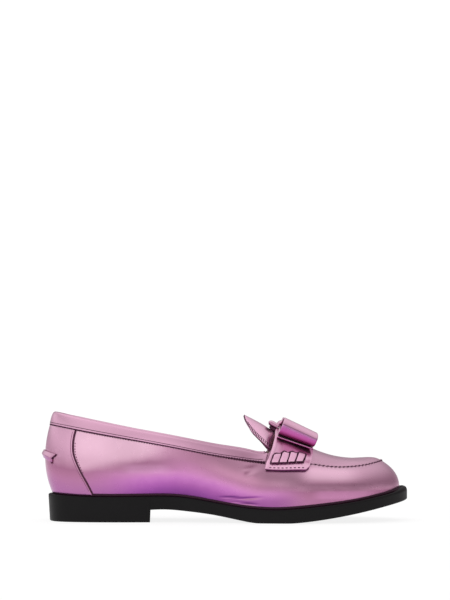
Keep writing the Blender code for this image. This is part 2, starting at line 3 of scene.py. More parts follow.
import bmesh
import bpy
import numpy as np
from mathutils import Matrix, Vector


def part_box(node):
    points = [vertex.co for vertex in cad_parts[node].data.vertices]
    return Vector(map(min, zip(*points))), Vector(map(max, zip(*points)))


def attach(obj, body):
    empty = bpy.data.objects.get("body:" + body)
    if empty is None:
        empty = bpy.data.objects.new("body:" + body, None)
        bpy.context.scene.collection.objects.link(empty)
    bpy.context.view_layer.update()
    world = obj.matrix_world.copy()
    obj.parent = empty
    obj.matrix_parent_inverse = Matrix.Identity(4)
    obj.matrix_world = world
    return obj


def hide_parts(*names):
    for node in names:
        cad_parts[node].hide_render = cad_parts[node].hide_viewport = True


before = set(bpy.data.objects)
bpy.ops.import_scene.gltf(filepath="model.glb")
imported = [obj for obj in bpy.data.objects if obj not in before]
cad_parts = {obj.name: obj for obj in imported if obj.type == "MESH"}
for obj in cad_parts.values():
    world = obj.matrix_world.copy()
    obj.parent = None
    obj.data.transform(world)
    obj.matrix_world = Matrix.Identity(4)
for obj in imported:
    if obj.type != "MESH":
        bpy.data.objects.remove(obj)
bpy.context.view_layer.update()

# Bow loafer for the right foot: x from heel to toe, y from outer to inner side, z up from the floor.
# Shapes are set in millimetres or shares, finishes, light and camera in metres.
mm = 0.001

shoeLast = {
    # place along, outer half-width, inner half-width, ledge of the sole, from heel back to toe tip
    "feather": (
        (-123.6, 0.0, 0.0, 4.3), (-118.5, 16.6, 16.6, 4.1), (-100.0, 25.5, 25.2, 3.9),
        (-68.0, 27.8, 26.5, 3.6), (-34.0, 27.6, 22.8, 3.2), (-2.0, 33.4, 25.0, 3.4),
        (10.5, 36.4, 28.4, 3.7), (22.0, 39.0, 32.0, 4.0), (33.0, 40.6, 35.6, 4.3),
        (43.0, 41.3, 38.3, 4.5), (58.0, 40.8, 40.0, 4.6), (77.0, 37.6, 38.8, 4.8),
        (95.0, 32.8, 35.2, 5.0), (109.7, 24.3, 28.0, 5.3), (120.7, 13.0, 17.2, 5.5),
        (125.6, -2.3, 2.3, 5.5),
    ),
    # place along, half-width, height, fullness of the wall below it, low and high
    "seam": (
        (-125.6, 0.0, 69.4, 6.7, 5.5), (-119.5, 15.2, 68.2, 6.0, 4.8), (-100.0, 24.8, 64.4, 5.0, 3.6),
        (-68.0, 28.0, 58.7, 4.2, 2.8), (-34.0, 30.2, 52.6, 4.0, 2.2), (-2.0, 32.5, 46.6, 3.6, 4.0),
        (11.0, 32.8, 44.6, 3.9, 5.3), (23.0, 32.8, 42.9, 4.2, 6.8), (32.5, 32.5, 42.3, 4.6, 9.0),
        (41.5, 32.0, 42.2, 5.0, 10.4), (54.5, 30.2, 42.3, 5.4, 11.2), (70.0, 27.4, 40.0, 5.6, 11.0),
        (85.0, 23.8, 39.2, 5.8, 10.0), (98.0, 18.2, 40.4, 5.8, 7.8), (107.4, 9.9, 42.3, 5.8, 5.2),
        (111.9, 0.0, 43.4, 5.8, 4.3),
    ),
    # place along, half-width, height, fullness of the leather above the seam, low and high
    "top": (
        (-122.7, 0.0, 78.3, 0.6, 0.8), (-117.2, 12.6, 77.4, 0.6, 0.8), (-98.8, 20.8, 73.5, 0.5, 0.7),
        (-67.5, 24.8, 67.2, 0.5, 0.6), (-34.0, 28.0, 60.8, 0.4, 0.5), (-2.0, 30.3, 55.0, 0.4, 0.5),
        (15.8, 29.8, 52.2, 0.5, 0.6), (29.6, 26.6, 50.2, 0.8, 0.8), (34.5, 15.5, 58.8, 4.0, 4.0),
        (36.0, 0.0, 64.7, 6.0, 7.2), (49.5, 0.0, 57.7, 4.6, 5.7), (63.0, 0.0, 51.4, 3.3, 4.2),
        (75.0, 0.0, 47.1, 2.6, 2.8), (86.0, 0.0, 45.2, 2.2, 1.7), (93.0, 0.0, 45.1, 2.2, 1.0),
        (97.0, 0.0, 45.3, 2.4, 0.7),
    ),
    "throatRow": 9,
    # top of the sole seen from the side: place along, height
    "ledge": (
        (-127.9, 19.6), (-94.0, 18.1), (-53.0, 18.4), (-36.0, 18.2), (-18.0, 16.0), (4.0, 12.1),
        (20.0, 10.1), (34.0, 9.4), (50.0, 10.2), (70.0, 12.2), (90.0, 14.9), (111.0, 18.9), (124.0, 21.7),
        (131.1, 23.5),
    ),
    "gap": 0.3,
    # how much lower the leather ends along the opening: place along, share of the collar's height
    "collarDrop": (
        (-123.0, 0.0), (-114.0, 0.08), (-90.0, 0.11), (-66.0, 0.18), (-20.0, 0.19), (8.0, 0.24),
        (20.0, 0.24), (24.0, 0.26), (27.0, 0.28), (29.6, 0.30), (31.0, 0.40), (33.0, 0.52), (34.2, 0.50),
        (35.6, 0.0),
    ),
}


class SmoothCurve:  # cubic through rows of values with even curvature, open or closed
    def __init__(self, places, values, period=None, lastSlope=None):
        x = np.asarray(places, float)
        y = np.asarray(values, float).reshape(len(x), -1)
        if period is not None:
            x = np.append(x, x[0] + period)
            y = np.vstack([y, y[:1]])
        step = np.diff(x)
        rise = np.diff(y, axis=0) / step[:, None]
        weights = np.zeros((len(x), len(x)))
        wanted = np.zeros_like(y)
        for i in range(1, len(x) - 1):
            weights[i, i - 1:i + 2] = 1 / step[i - 1], 2 / step[i - 1] + 2 / step[i], 1 / step[i]
            wanted[i] = 3 * (rise[i - 1] / step[i - 1] + rise[i] / step[i])
        if period is None:
            weights[0, :2] = 2, 1
            wanted[0] = 3 * rise[0]
            weights[-1, -2:] = (1, 2) if lastSlope is None else (0, 1)
            wanted[-1] = 3 * rise[-1] if lastSlope is None else lastSlope
        else:
            weights[0, 0], weights[0, -1] = 1, -1
            weights[-1, -2] = 1 / step[-1]
            weights[-1, 0] = 2 / step[-1] + 2 / step[0]
            weights[-1, 1] = 1 / step[0]
            wanted[-1] = 3 * (rise[-1] / step[-1] + rise[0] / step[0])
        self.x, self.y, self.period = x, y, period
        self.slope = np.linalg.solve(weights, wanted)

    def __call__(self, place):
        place = np.asarray(place, float)
        if self.period is not None:
            place = self.x[0] + (place - self.x[0]) % self.period
        i = np.clip(np.searchsorted(self.x, place) - 1, 0, len(self.x) - 2)
        h = self.x[i + 1] - self.x[i]
        t = ((place - self.x[i]) / h)[..., None]
        start, end = self.y[i], self.y[i + 1]
        leave, arrive = self.slope[i] * h[..., None], self.slope[i + 1] * h[..., None]
        bend = 2 * start - 2 * end + leave + arrive
        turn = -3 * start + 3 * end - 2 * leave - arrive
        return ((bend * t + turn) * t + leave) * t + start


def unit(vectors):
    return vectors / np.maximum(np.linalg.norm(vectors, axis=-1, keepdims=True), 1e-12)


def smoothStep(low, high, value):
    share = np.clip((np.asarray(value, float) - low) / (high - low), 0, 1)
    return share * share * (3 - 2 * share)


featherRows = np.array(shoeLast["feather"]) * mm
seamRows = np.array(shoeLast["seam"]) * mm
topRows = np.array(shoeLast["top"]) * mm
ledgeRows = np.array(shoeLast["ledge"]) * mm
throatRow = shoeLast["throatRow"]
gap = shoeLast["gap"] * mm
dropRows = np.array(shoeLast["collarDrop"])

halfWidths = featherRows[:, 1:3].mean(axis=1)
sectionSteps = np.hypot(np.diff(featherRows[:, 0]), np.diff(halfWidths))
sectionPlaces = np.concatenate([[0.0], np.cumsum(sectionSteps)])  # way round the edge from the heel
toePlace = sectionPlaces[-1]
throatPlace = sectionPlaces[throatRow]


def roundLoop(outerRows, innerRows, last=None):  # forward along the outer side, back along the inner one
    last = len(outerRows) - 1 if last is None else last
    period = 2 * sectionPlaces[last]
    back = np.arange(last - 1, 0, -1)
    places = np.concatenate([sectionPlaces[:last + 1], period - sectionPlaces[back]])
    return SmoothCurve(places, np.vstack([outerRows[:last + 1], innerRows[back]]), period)


def mirrored(rows):
    return rows * np.array([1, -1] + [1] * (rows.shape[1] - 2))


ledgeCurve = SmoothCurve(ledgeRows[:, 0], ledgeRows[:, 1])
featherLoop = roundLoop(mirrored(featherRows[:, [0, 1, 3]]), featherRows[:, [0, 2, 3]])
seamLoop = roundLoop(mirrored(seamRows), seamRows)
fullLoop = roundLoop(topRows[:, 3:], topRows[:, 3:])
openingLoop = roundLoop(mirrored(topRows[:, :3]), topRows[:, :3], throatRow)
ridgeRows = topRows[throatRow:, :3] * np.array([1, 0, 1])
ridgeCurve = SmoothCurve(sectionPlaces[throatRow:], ridgeRows, lastSlope=0.0)

probe = {  # small steps for reading directions off the last
    "edge": 1e-5, "along": 2e-4, "up": 4e-3, "across": 1e-4, "toe": 3e-4,
    "nearTop": 1.985, "atTop": 1.9995, "besideSeam": (0.99, 1.01), "halvings": 34,
}


def ledgeHeight(x):
    return ledgeCurve(x)[..., 0]


def sidePlace(q):  # way from the heel, and -1 on the outer or 1 on the inner side
    q = np.asarray(q, float) % (2 * toePlace)
    return np.where(q <= toePlace, q, 2 * toePlace - q), np.where(q <= toePlace, -1, 1)


def roundPlace(place, side):
    return np.where(np.asarray(side) < 0, place, 2 * toePlace - place)


def featherEdge(q):  # point, outward direction and sole ledge where the upper meets the sole
    here = featherLoop(q)
    along = featherLoop(q + probe["edge"]) - featherLoop(q - probe["edge"])
    outward = unit(np.stack([along[..., 1], -along[..., 0], 0 * along[..., 0]], -1))
    foot = np.stack([here[..., 0], here[..., 1], ledgeHeight(here[..., 0]) + gap], -1)
    return foot, outward, here[..., 2]


def topLine(q):
    place, side = sidePlace(q)
    ridge = ridgeCurve(np.maximum(place, throatPlace))
    opening = openingLoop(np.where(side < 0, place, 2 * throatPlace - place))
    return np.where((place >= throatPlace)[..., None], ridge, opening)


def collarShare(q, w):  # w eased down along the opening
    drop = np.interp(topLine(q)[..., 0], dropRows[:, 0] * mm, dropRows[:, 1])
    return np.where(w > 1, 1 + (w - 1) * (1 - drop), w)


def fullCurve(start, end, low, high, outward, share):  # cubic filled out at its two thirds
    reach = end - start
    across = np.sum(reach * outward, -1, keepdims=True)
    fill = unit(outward * reach[..., 2:3] - np.array([0.0, 0.0, 1.0]) * across)
    first = start + reach / 3 + fill * low[..., None]
    second = start + reach * (2 / 3) + fill * high[..., None]
    share = share[..., None]
    rest = 1 - share
    lower = start * rest ** 3 + first * 3 * share * rest ** 2
    return lower + second * 3 * share ** 2 * rest + end * share ** 3


def lastPoint(q, w):  # w is 0 at the feather edge, 1 at the seam line, 2 at the top line
    q, w = np.broadcast_arrays(np.asarray(q, float), np.asarray(w, float))
    foot, outward, _ = featherEdge(q)
    seam, full = seamLoop(q), fullLoop(q)
    lower = fullCurve(foot, seam[..., :3], seam[..., 3], seam[..., 4], outward, np.clip(w, 0, 1))
    upper = fullCurve(seam[..., :3], topLine(q), full[..., 0], full[..., 1], outward, np.clip(w - 1, 0, 1))
    return np.where((w <= 1)[..., None], lower, upper)


def plainNormal(q, w):
    q, w = np.broadcast_arrays(np.asarray(q, float), np.asarray(w, float))
    low = np.maximum(np.where(w <= 1, 0, 1), w - probe["up"])
    high = np.minimum(np.where(w <= 1, 1, 2), w + probe["up"])
    along = lastPoint(q + probe["along"], w) - lastPoint(q - probe["along"], w)
    return unit(np.cross(along, lastPoint(q, high) - lastPoint(q, low)))


def surfaceNormal(q, w):
    q, w = np.broadcast_arrays(np.asarray(q, float), np.asarray(w, float))
    place, _ = sidePlace(q)
    inner, nearTop = np.minimum(place, toePlace - probe["toe"]), probe["nearTop"]
    ridge = plainNormal(inner, nearTop) + plainNormal(roundPlace(inner, 1), nearTop)
    ridge[..., 1] = 0
    seam = sum(plainNormal(q, beside) for beside in probe["besideSeam"])
    normal = plainNormal(q, np.minimum(w, nearTop))
    normal = np.where((np.abs(w - 1) < probe["up"])[..., None], unit(seam), normal)
    return np.where(((w > probe["atTop"]) & (place > throatPlace))[..., None], unit(ridge), normal)


def upperPoint(q, w, lift):
    return lastPoint(q, w) + surfaceNormal(q, w) * np.asarray(lift, float)[..., None]


def surfaceRow(q, w, lift):  # a line along the leather and its outward directions
    return upperPoint(q, w, lift), surfaceNormal(q, w)


overSeam = {"reach": 0.10, "steps": (-0.06, -0.03, 0.03, 0.06), "share": 0.2}


def easedPoint(q, w, lift):  # upperPoint rounded over the seam line, for what lies across it
    w, share = np.asarray(w, float), overSeam["share"]
    near = np.exp(-((w - 1) / overSeam["reach"]) ** 2)[..., None]
    beside = [upperPoint(q, np.clip(w + step, 0, 2), lift) for step in overSeam["steps"]]
    return upperPoint(q, w, lift) * (1 - len(beside) * share * near) + sum(beside) * share * near


def placeAt(side, w, x):  # way round, on one side, where the surface at w lies at x
    side, w, x = np.broadcast_arrays(side, np.asarray(w, float), np.asarray(x, float))
    low, high = np.zeros(w.shape), np.full(w.shape, toePlace)
    for _ in range(probe["halvings"]):
        middle = (low + high) / 2
        behind = lastPoint(roundPlace(middle, side), w)[..., 0] < x
        low, high = np.where(behind, middle, low), np.where(behind, high, middle)
    return roundPlace((low + high) / 2, side)


def finePlaces(step):  # from heel to toe, with every section row among them
    parts = [np.linspace(a, b, max(2, math.ceil((b - a) / step)) + 1)[1:]
             for a, b in zip(sectionPlaces[:-1], sectionPlaces[1:])]
    return np.concatenate([[0.0], *parts])


def cutBands(bands):  # steps from bands of from, to and count
    return np.unique(np.concatenate([np.linspace(*band) for band in bands]))


rimFoot, rimOut, rimLedge = featherEdge(finePlaces(0.5 * mm))
rimSide = (rimFoot + rimOut * rimLedge[:, None])[:, 1].min()
soleLow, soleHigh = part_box("sole")
shift = np.array([soleHigh[0] - ledgeRows[-1, 0], soleLow[1] - rimSide, 0.0])  # onto the frame's sole
print("shoe last ready, shift", shift.round(5))


# shader wires

class Wire:  # a node's output that takes part in Python sums
    def __init__(self, tree, socket=None):
        self.tree, self.socket = tree, socket

    def make(self, kind, settings=None, sockets=None, out=0):
        node = self.tree.nodes.new(kind)
        for key, value in (settings or {}).items():
            if key == "stops":
                while len(node.color_ramp.elements) < len(value):
                    node.color_ramp.elements.new(0.5)
                for stop, (place, colour) in zip(node.color_ramp.elements, value):
                    stop.position, stop.color = place, colour
            else:
                setattr(node, key, value)
        for key, value in (sockets or {}).items():
            if isinstance(value, Wire):
                self.tree.links.new(value.socket, node.inputs[key])
            else:
                node.inputs[key].default_value = value
        return Wire(self.tree, node.outputs[out])

    def maths(self, operation, first, second):
        return self.make("ShaderNodeMath", {"operation": operation}, {0: first, 1: second})

    def __add__(self, other):
        return self.maths("ADD", self, other)

    def __sub__(self, other):
        return self.maths("SUBTRACT", self, other)

    def __rsub__(self, other):
        return self.maths("SUBTRACT", other, self)

    def __mul__(self, other):
        return self.maths("MULTIPLY", self, other)

    __radd__ = __add__
    __rmul__ = __mul__

    def ease(self, low, high):  # soft step from 0 at low to 1 at high
        return self.make("ShaderNodeMapRange", {"interpolation_type": "SMOOTHSTEP"},
                         {"Value": self, "From Min": low, "From Max": high})

    def blend(self, first, second):  # colours, by this share
        return self.make("ShaderNodeMix", {"data_type": "RGBA"}, {0: self, 6: first, 7: second}, out=2)

    def part(self, axis):
        return self.make("ShaderNodeSeparateXYZ", None, {0: self}, axis)


def rgb(*colour):
    return (*colour, 1.0)


def newFinish(name, constants):
    finish = bpy.data.materials.new(name)
    finish.use_nodes = True
    shader = finish.node_tree.nodes["Principled BSDF"]
    for key, value in constants.items():
        shader.inputs[key].default_value = value
    return finish, Wire(finish.node_tree), shader


def feed(shader, **links):
    for key, wire in links.items():
        wire.tree.links.new(wire.socket, shader.inputs[key.replace("_", " ")])


def objectPlace(wires):
    return wires.make("ShaderNodeTexCoord", out="Object")


def ramp(wires, stops, share):
    return wires.make("ShaderNodeValToRGB", {"stops": stops}, {0: share})


def noise(wires, where, scale, detail=2.0):
    return wires.make("ShaderNodeTexNoise", None, {"Vector": where, "Scale": scale, "Detail": detail})


def bump(wires, height, strength, depth, **under):
    sockets = {"Strength": strength, "Distance": depth, "Height": height, **under}
    return wires.make("ShaderNodeBump", None, sockets)


upward, downward = (1.0, 2.0), (-2.0, -1.0)  # far past the shoe, for a cloud that is open there
pinkFoil = {
    # colour by the way the leather faces: 0 straight down, 0.5 level, 1 straight up. The violet tint is the
    # foil's pearl tone; the dark bands and darker undersides are painted shade and painted reflection
    "pinks": (
        (0.30, rgb(0.42, 0.155, 0.38)), (0.38, rgb(0.45, 0.175, 0.385)), (0.43, rgb(0.48, 0.195, 0.37)),
        (0.46, rgb(0.46, 0.188, 0.33)), (0.487, rgb(0.43, 0.177, 0.305)), (0.512, rgb(0.62, 0.31, 0.46)),
        (0.540, rgb(0.78, 0.42, 0.60)), (0.70, rgb(0.82, 0.45, 0.63)), (1.00, rgb(0.84, 0.48, 0.65)),
    ),
    "violets": (
        (0.30, rgb(0.18, 0.040, 0.225)), (0.37, rgb(0.34, 0.085, 0.37)), (0.41, rgb(0.46, 0.130, 0.46)),
        (0.45, rgb(0.60, 0.205, 0.56)), (0.48, rgb(0.69, 0.28, 0.58)), (0.505, rgb(0.52, 0.225, 0.39)),
        (0.53, rgb(0.51, 0.23, 0.38)), (0.555, rgb(0.78, 0.42, 0.60)), (0.60, rgb(0.82, 0.46, 0.63)),
        (1.00, rgb(0.84, 0.48, 0.65)),
    ),
    "waists": (
        (0.30, rgb(0.17, 0.038, 0.21)), (0.37, rgb(0.31, 0.077, 0.335)), (0.41, rgb(0.42, 0.118, 0.41)),
        (0.45, rgb(0.57, 0.192, 0.53)), (0.48, rgb(0.67, 0.26, 0.58)), (0.51, rgb(0.68, 0.29, 0.54)),
        (0.55, rgb(0.60, 0.27, 0.44)), (0.60, rgb(0.60, 0.28, 0.43)), (0.75, rgb(0.70, 0.36, 0.52)),
        (1.00, rgb(0.84, 0.48, 0.65)),
    ),
    # bow ribbon: dark maroon where it faces down, painted shade under the loops
    "ribbon": (
        (0.00, rgb(0.18, 0.022, 0.10)), (0.25, rgb(0.24, 0.030, 0.135)), (0.36, rgb(0.30, 0.038, 0.17)),
        (0.42, rgb(0.42, 0.062, 0.26)), (0.48, rgb(0.56, 0.13, 0.42)), (0.545, rgb(0.70, 0.31, 0.62)),
        (0.58, rgb(0.62, 0.30, 0.52)), (0.60, rgb(0.34, 0.16, 0.27)), (0.635, rgb(0.75, 0.40, 0.57)),
        (0.78, rgb(0.83, 0.47, 0.64)), (1.00, rgb(0.85, 0.52, 0.67)),
    ),
    # knot wrap: near black where it faces down, painted shade under its padded end
    "wrap": (
        (0.00, rgb(0.04, 0.010, 0.025)), (0.25, rgb(0.12, 0.03, 0.07)), (0.40, rgb(0.40, 0.15, 0.28)),
        (0.52, rgb(0.80, 0.42, 0.60)), (0.75, rgb(0.86, 0.52, 0.68)), (1.00, rgb(0.88, 0.56, 0.70)),
    ),
    # stretches along the shoe where another facing ramp shows, violet pearl tone with its own painted shade
    # and reflection: start, full, fade, end
    "glows": (("violets", (-0.108, -0.050, 0.010, 0.060)), ("waists", (-0.052, -0.020, 0.020, 0.060))),
    # tones of the painted shade and painted highlight below: dark, plum and wine for shade; pale, lilac and
    # rose for highlight
    "tones": {
        "dark": rgb(0.10, 0.03, 0.06), "pale": rgb(0.92, 0.57, 0.73), "lilac": rgb(0.80, 0.42, 0.68),
        "rose": rgb(0.75, 0.33, 0.60), "plum": rgb(0.10, 0.02, 0.09), "wine": rgb(0.46, 0.085, 0.27),
    },
    # soft clouds of painted shade and painted highlight: stretch along, slope of the cloud, stretch in
    # height, strength, tone
    "paintedShadeAndLight": {
        # waist, tab, toe, fold, apron and foot are painted shade, bow is painted shadow on the strap under
        # the bow; heel, quarter, glint and flank are painted highlight
        "waist": ((-0.050, -0.010, 0.048, 0.066), 0.20, (0.033, 0.044, *upward), 0.30, "dark"),
        "tab": ((0.016, 0.032, 0.046, 0.062), 0.0, (0.018, 0.032, *upward), 0.38, "dark"),
        "toe": ((0.070, 0.105, 0.200, 0.300), 0.0, (0.020, 0.036, *upward), 0.24, "dark"),
        "heel": ((-0.118, -0.100, -0.060, -0.036), -0.20, (0.053, 0.062, *upward), 0.85, "pale"),
        "quarter": ((-0.075, -0.064, -0.046, -0.034), 0.0, (0.0335, 0.036, 0.039, 0.042), 0.35, "lilac"),
        "glint": ((0.052, 0.064, 0.082, 0.100), 0.0, (0.0275, 0.0315, 0.036, 0.040), 0.60, "pale"),
        "fold": ((0.050, 0.062, 0.090, 0.110), 0.0, (0.021, 0.0235, 0.0265, 0.029), 0.26, "dark"),
        "flank": ((0.060, 0.070, 0.095, 0.112), 0.0, (0.016, 0.018, 0.0215, 0.0235), 0.35, "rose"),
        "apron": ((0.052, 0.060, 0.075, 0.095), 0.0, (0.038, 0.042, *upward), 0.24, "dark"),
        "foot": ((-0.014, 0.002, 0.036, 0.058), 0.0, (*downward, 0.014, 0.0225), 0.32, "plum"),
        "bow": ((0.034, 0.044, 0.066, 0.070), 0.0, (0.0448, 0.0505, *upward), 0.78, "wine"),
    },
    "quarterShadeAndLight": ("waist", "tab", "toe", "heel", "quarter", "glint", "fold", "flank", "apron", "foot"),
    "base": {"Metallic": 0.95, "Coat Weight": 0.06, "Coat Roughness": 0.2},
    # noises are scale and detail, bumps are strength and depth
    "mottle": (160.0, 3.0), "mottleShare": 0.02,
    "rubbed": (300.0, 3.0), "rubbedShare": 0.10, "roughness": 0.24,
    "pores": (1700.0, 2.0), "poreBump": (0.3, 0.000012),
    "swell": (55.0, 1.0), "swellBump": (0.5, 0.0003),
}


def stretch(along, places):  # 1 between two places, fading at both ends
    start, full, fade, end = places
    return along.ease(start, full) * along.ease(end, fade)


def foilLeather(name, stops="pinks", glows=(), paintedShadeAndLight=()):
    finish, wires, shader = newFinish(name, pinkFoil["base"])
    where = objectPlace(wires)
    along, height = where.part("X"), where.part("Z")
    # the facing share paints shade and reflection into the colour, beside the foil's pearl tint
    facing = wires.make("ShaderNodeNewGeometry", out="Normal").part("Z")
    mottle = noise(wires, where, *pinkFoil["mottle"])
    turned = facing * 0.5 + 0.5 + (mottle - 0.5) * pinkFoil["mottleShare"]
    colour = ramp(wires, pinkFoil[stops], turned)
    for glow, places in glows:
        colour = stretch(along, places).blend(colour, ramp(wires, pinkFoil[glow], turned))
    # lay the painted shade and painted highlight over the colour by place
    for key in paintedShadeAndLight:
        places, slope, rise, strength, tone = pinkFoil["paintedShadeAndLight"][key]
        share = stretch(along, places) * stretch(height + along * slope, rise) * strength
        colour = share.blend(colour, pinkFoil["tones"][tone])
    swell = bump(wires, noise(wires, where, *pinkFoil["swell"]), *pinkFoil["swellBump"])
    grain = bump(wires, noise(wires, where, *pinkFoil["pores"]), *pinkFoil["poreBump"], Normal=swell)
    rubbed = noise(wires, where, *pinkFoil["rubbed"]) * pinkFoil["rubbedShare"]
    feed(shader, Base_Color=colour, Roughness=rubbed + pinkFoil["roughness"], Normal=grain)
    return finish


threadLook = {
    "base": {"Metallic": 0.0, "Specular IOR Level": 0.3},
    "twistScale": 900.0, "twistBend": 1.5, "twistShare": 0.6, "twistBump": (0.6, 0.0001),
    "fuzz": (2600.0, 2.0), "fuzzShare": 0.25, "roughness": 0.5,
}


def threadFinish(name, colour, dark):
    finish, wires, shader = newFinish(name, threadLook["base"])
    where = objectPlace(wires)
    twist = wires.make("ShaderNodeTexWave", {"bands_direction": "DIAGONAL"}, {
        "Vector": where, "Scale": threadLook["twistScale"], "Distortion": threadLook["twistBend"]})
    fuzz = noise(wires, where, *threadLook["fuzz"]) * threadLook["fuzzShare"]
    feed(shader, Base_Color=(twist * threadLook["twistShare"]).blend(colour, dark),
         Roughness=fuzz + threadLook["roughness"], Normal=bump(wires, twist, *threadLook["twistBump"]))
    return finish


liningLook = {
    "base": {"Metallic": 0.0, "Specular IOR Level": 0.35},
    "cloud": (45.0, 4.0), "cloudShare": 0.2, "worn": (0.35, 0.7), "roughness": 0.45,
    "poreScale": 1100.0, "poreBump": (0.5, 0.00012),
}


def liningFinish(name, colour, worn):
    finish, wires, shader = newFinish(name, liningLook["base"])
    where = objectPlace(wires)
    cloud = noise(wires, where, *liningLook["cloud"])
    pores = wires.make("ShaderNodeTexVoronoi", None, {"Vector": where, "Scale": liningLook["poreScale"]})
    feed(shader, Base_Color=cloud.ease(*liningLook["worn"]).blend(colour, worn),
         Roughness=cloud * liningLook["cloudShare"] + liningLook["roughness"],
         Normal=bump(wires, pores, *liningLook["poreBump"]))
    return finish


rubberLook = {
    "base": {"Metallic": 0.0, "Specular IOR Level": 0.12},
    "tones": (rgb(0.006, 0.0055, 0.006), rgb(0.010, 0.0095, 0.010)),
    "cloud": (60.0, 3.0), "cloudShare": 0.16, "roughness": 0.36,
    "speck": (1800.0, 2.0), "speckShare": 0.08, "speckBump": (0.35, 0.00008),
}


def rubberFinish(name):
    finish, wires, shader = newFinish(name, rubberLook["base"])
    where = objectPlace(wires)
    speck = noise(wires, where, *rubberLook["speck"])
    cloud = noise(wires, where, *rubberLook["cloud"])
    dull = cloud * rubberLook["cloudShare"] + speck * rubberLook["speckShare"]
    feed(shader, Base_Color=cloud.blend(*rubberLook["tones"]), Roughness=dull + rubberLook["roughness"],
         Normal=bump(wires, speck, *rubberLook["speckBump"]))
    return finish


pinkLeather = foilLeather("pinkFoilLeather")
# quarter: painted shade and painted highlight by place
quarterLeather = foilLeather("quarterFoilLeather", "pinks", pinkFoil["glows"], pinkFoil["quarterShadeAndLight"])
# collar: painted shade at the waist
collarLeather = foilLeather("collarFoilLeather", paintedShadeAndLight=("waist",))
# strap: painted shadow under the bow
strapLeather = foilLeather("strapFoilLeather", paintedShadeAndLight=("bow",))
bowLeather = foilLeather("bowFoilLeather", "ribbon")
wrapLeather = foilLeather("wrapFoilLeather", "wrap")
# dark maroon for cut edges: edge dye, and painted shade where it lines slits, grooves, steps and the fold
# under the knot
edgeDyeAndShade = threadFinish("darkEdgeDyeAndShade", rgb(0.105, 0.026, 0.064), rgb(0.060, 0.013, 0.040))
pinkThread = threadFinish("tonedThread", rgb(0.34, 0.13, 0.24), rgb(0.16, 0.05, 0.11))
seamShade = threadFinish("featherShade", rgb(0.045, 0.008, 0.028), rgb(0.022, 0.004, 0.014))
darkThread = threadFinish("maroonThread", rgb(0.085, 0.020, 0.055), rgb(0.035, 0.008, 0.024))
liningLeather = liningFinish("liningLeather", rgb(0.56, 0.43, 0.37), rgb(0.47, 0.35, 0.30))
sockLeather = liningFinish("sockLeather", rgb(0.62, 0.50, 0.43), rgb(0.53, 0.42, 0.36))
blackRubber = rubberFinish("blackRubber")
print("finishes ready")


# mesh tools

meshCare = {"weld": 2e-6, "bevelSteps": 3, "bevelAngle": 48.0}


def editMesh(mesh, step):  # one bmesh step
    bm = bmesh.new()
    bm.from_mesh(mesh)
    step(bm)
    bm.to_mesh(mesh)
    bm.free()


def outwardFaces(piece):
    editMesh(piece.data, lambda bm: bmesh.ops.recalc_face_normals(bm, faces=bm.faces))


def meshPiece(name, points, faces, finish, slot=None, replaces=()):
    mesh = bpy.data.meshes.new(name)
    mesh.from_pydata((np.asarray(points).reshape(-1, 3) + shift).tolist(), [], faces)
    editMesh(mesh, lambda bm: bmesh.ops.remove_doubles(bm, verts=bm.verts, dist=meshCare["weld"]))
    mesh.polygons.foreach_set("use_smooth", np.ones(len(mesh.polygons), bool))
    piece = bpy.data.objects.new(name, mesh)
    bpy.context.scene.collection.objects.link(piece)
    mesh.materials.append(finish)
    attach(piece, "root")
    if replaces:
        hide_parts(*replaces)
    return piece


def gridFaces(rows, columns, closed=False):
    i = np.arange(rows if closed else rows - 1)[:, None]
    j = np.arange(columns - 1)[None]
    here, ahead = i * columns + j, (i + 1) % rows * columns + j
    return np.stack([here, ahead, ahead + 1, here + 1], -1).reshape(-1, 4).tolist()


def sheetPiece(name, grid, finish, thickness, side, rounding=0.0, closed=False,
               slot="upper_leather", replaces=()):
    piece = meshPiece(name, grid, gridFaces(*grid.shape[:2], closed), finish, slot, replaces)
    solid = piece.modifiers.new("thickness", "SOLIDIFY")
    solid.thickness, solid.offset = thickness * mm, side
    if rounding:
        edges = piece.modifiers.new("edges", "BEVEL")
        edges.width, edges.segments = rounding * mm, meshCare["bevelSteps"]
        edges.limit_method, edges.angle_limit = "ANGLE", math.radians(meshCare["bevelAngle"])
        edges.use_clamp_overlap = True


threadShape = {
    "sides": 6, "taper": 0.5, "stitchSteps": 6, "arch": 1.35, "sink": 0.75,
    "linePitch": 1.2, "leastSteps": 8, "lineFlat": 0.7,
}


def tubes(name, lines, normals, radius, finish, flat=1.0):
    # lines: (count, points, 3), one closed tube along each
    sides = threadShape["sides"]
    along = unit(np.gradient(lines, axis=1))
    across = unit(np.cross(along, normals))
    up = np.cross(across, along)
    count, steps = lines.shape[:2]
    turn = np.arange(sides) * 2 * np.pi / sides
    size = np.ones(steps)
    size[[0, -1]] = threadShape["taper"]
    ring = np.cos(turn)[:, None] * flat * up[:, :, None] + np.sin(turn)[:, None] * across[:, :, None]
    points = lines[:, :, None] + radius * mm * size[None, :, None, None] * ring
    base = np.arange(count)[:, None, None] * steps * sides
    i, k = np.arange(steps - 1)[None, :, None], np.arange(sides)[None, None]
    here, beside = base + i * sides + k, base + i * sides + (k + 1) % sides
    faces = np.stack([here, beside, beside + sides, here + sides], -1).reshape(-1, 4).tolist()
    for start in range(0, count * steps * sides, steps * sides):
        faces.append([start + sides - 1 - k for k in range(sides)])
        faces.append([start + (steps - 1) * sides + k for k in range(sides)])
    meshPiece(name, points, faces, finish)


def runLengths(line):  # way from the start of a line to each of its points
    return np.concatenate([[0.0], np.cumsum(np.linalg.norm(np.diff(line, axis=0), axis=1))])


def readAlong(lengths, values, places):  # points or directions of a dense line at lengths along it
    return np.stack([np.interp(places, lengths, values[:, k]) for k in range(3)], -1)


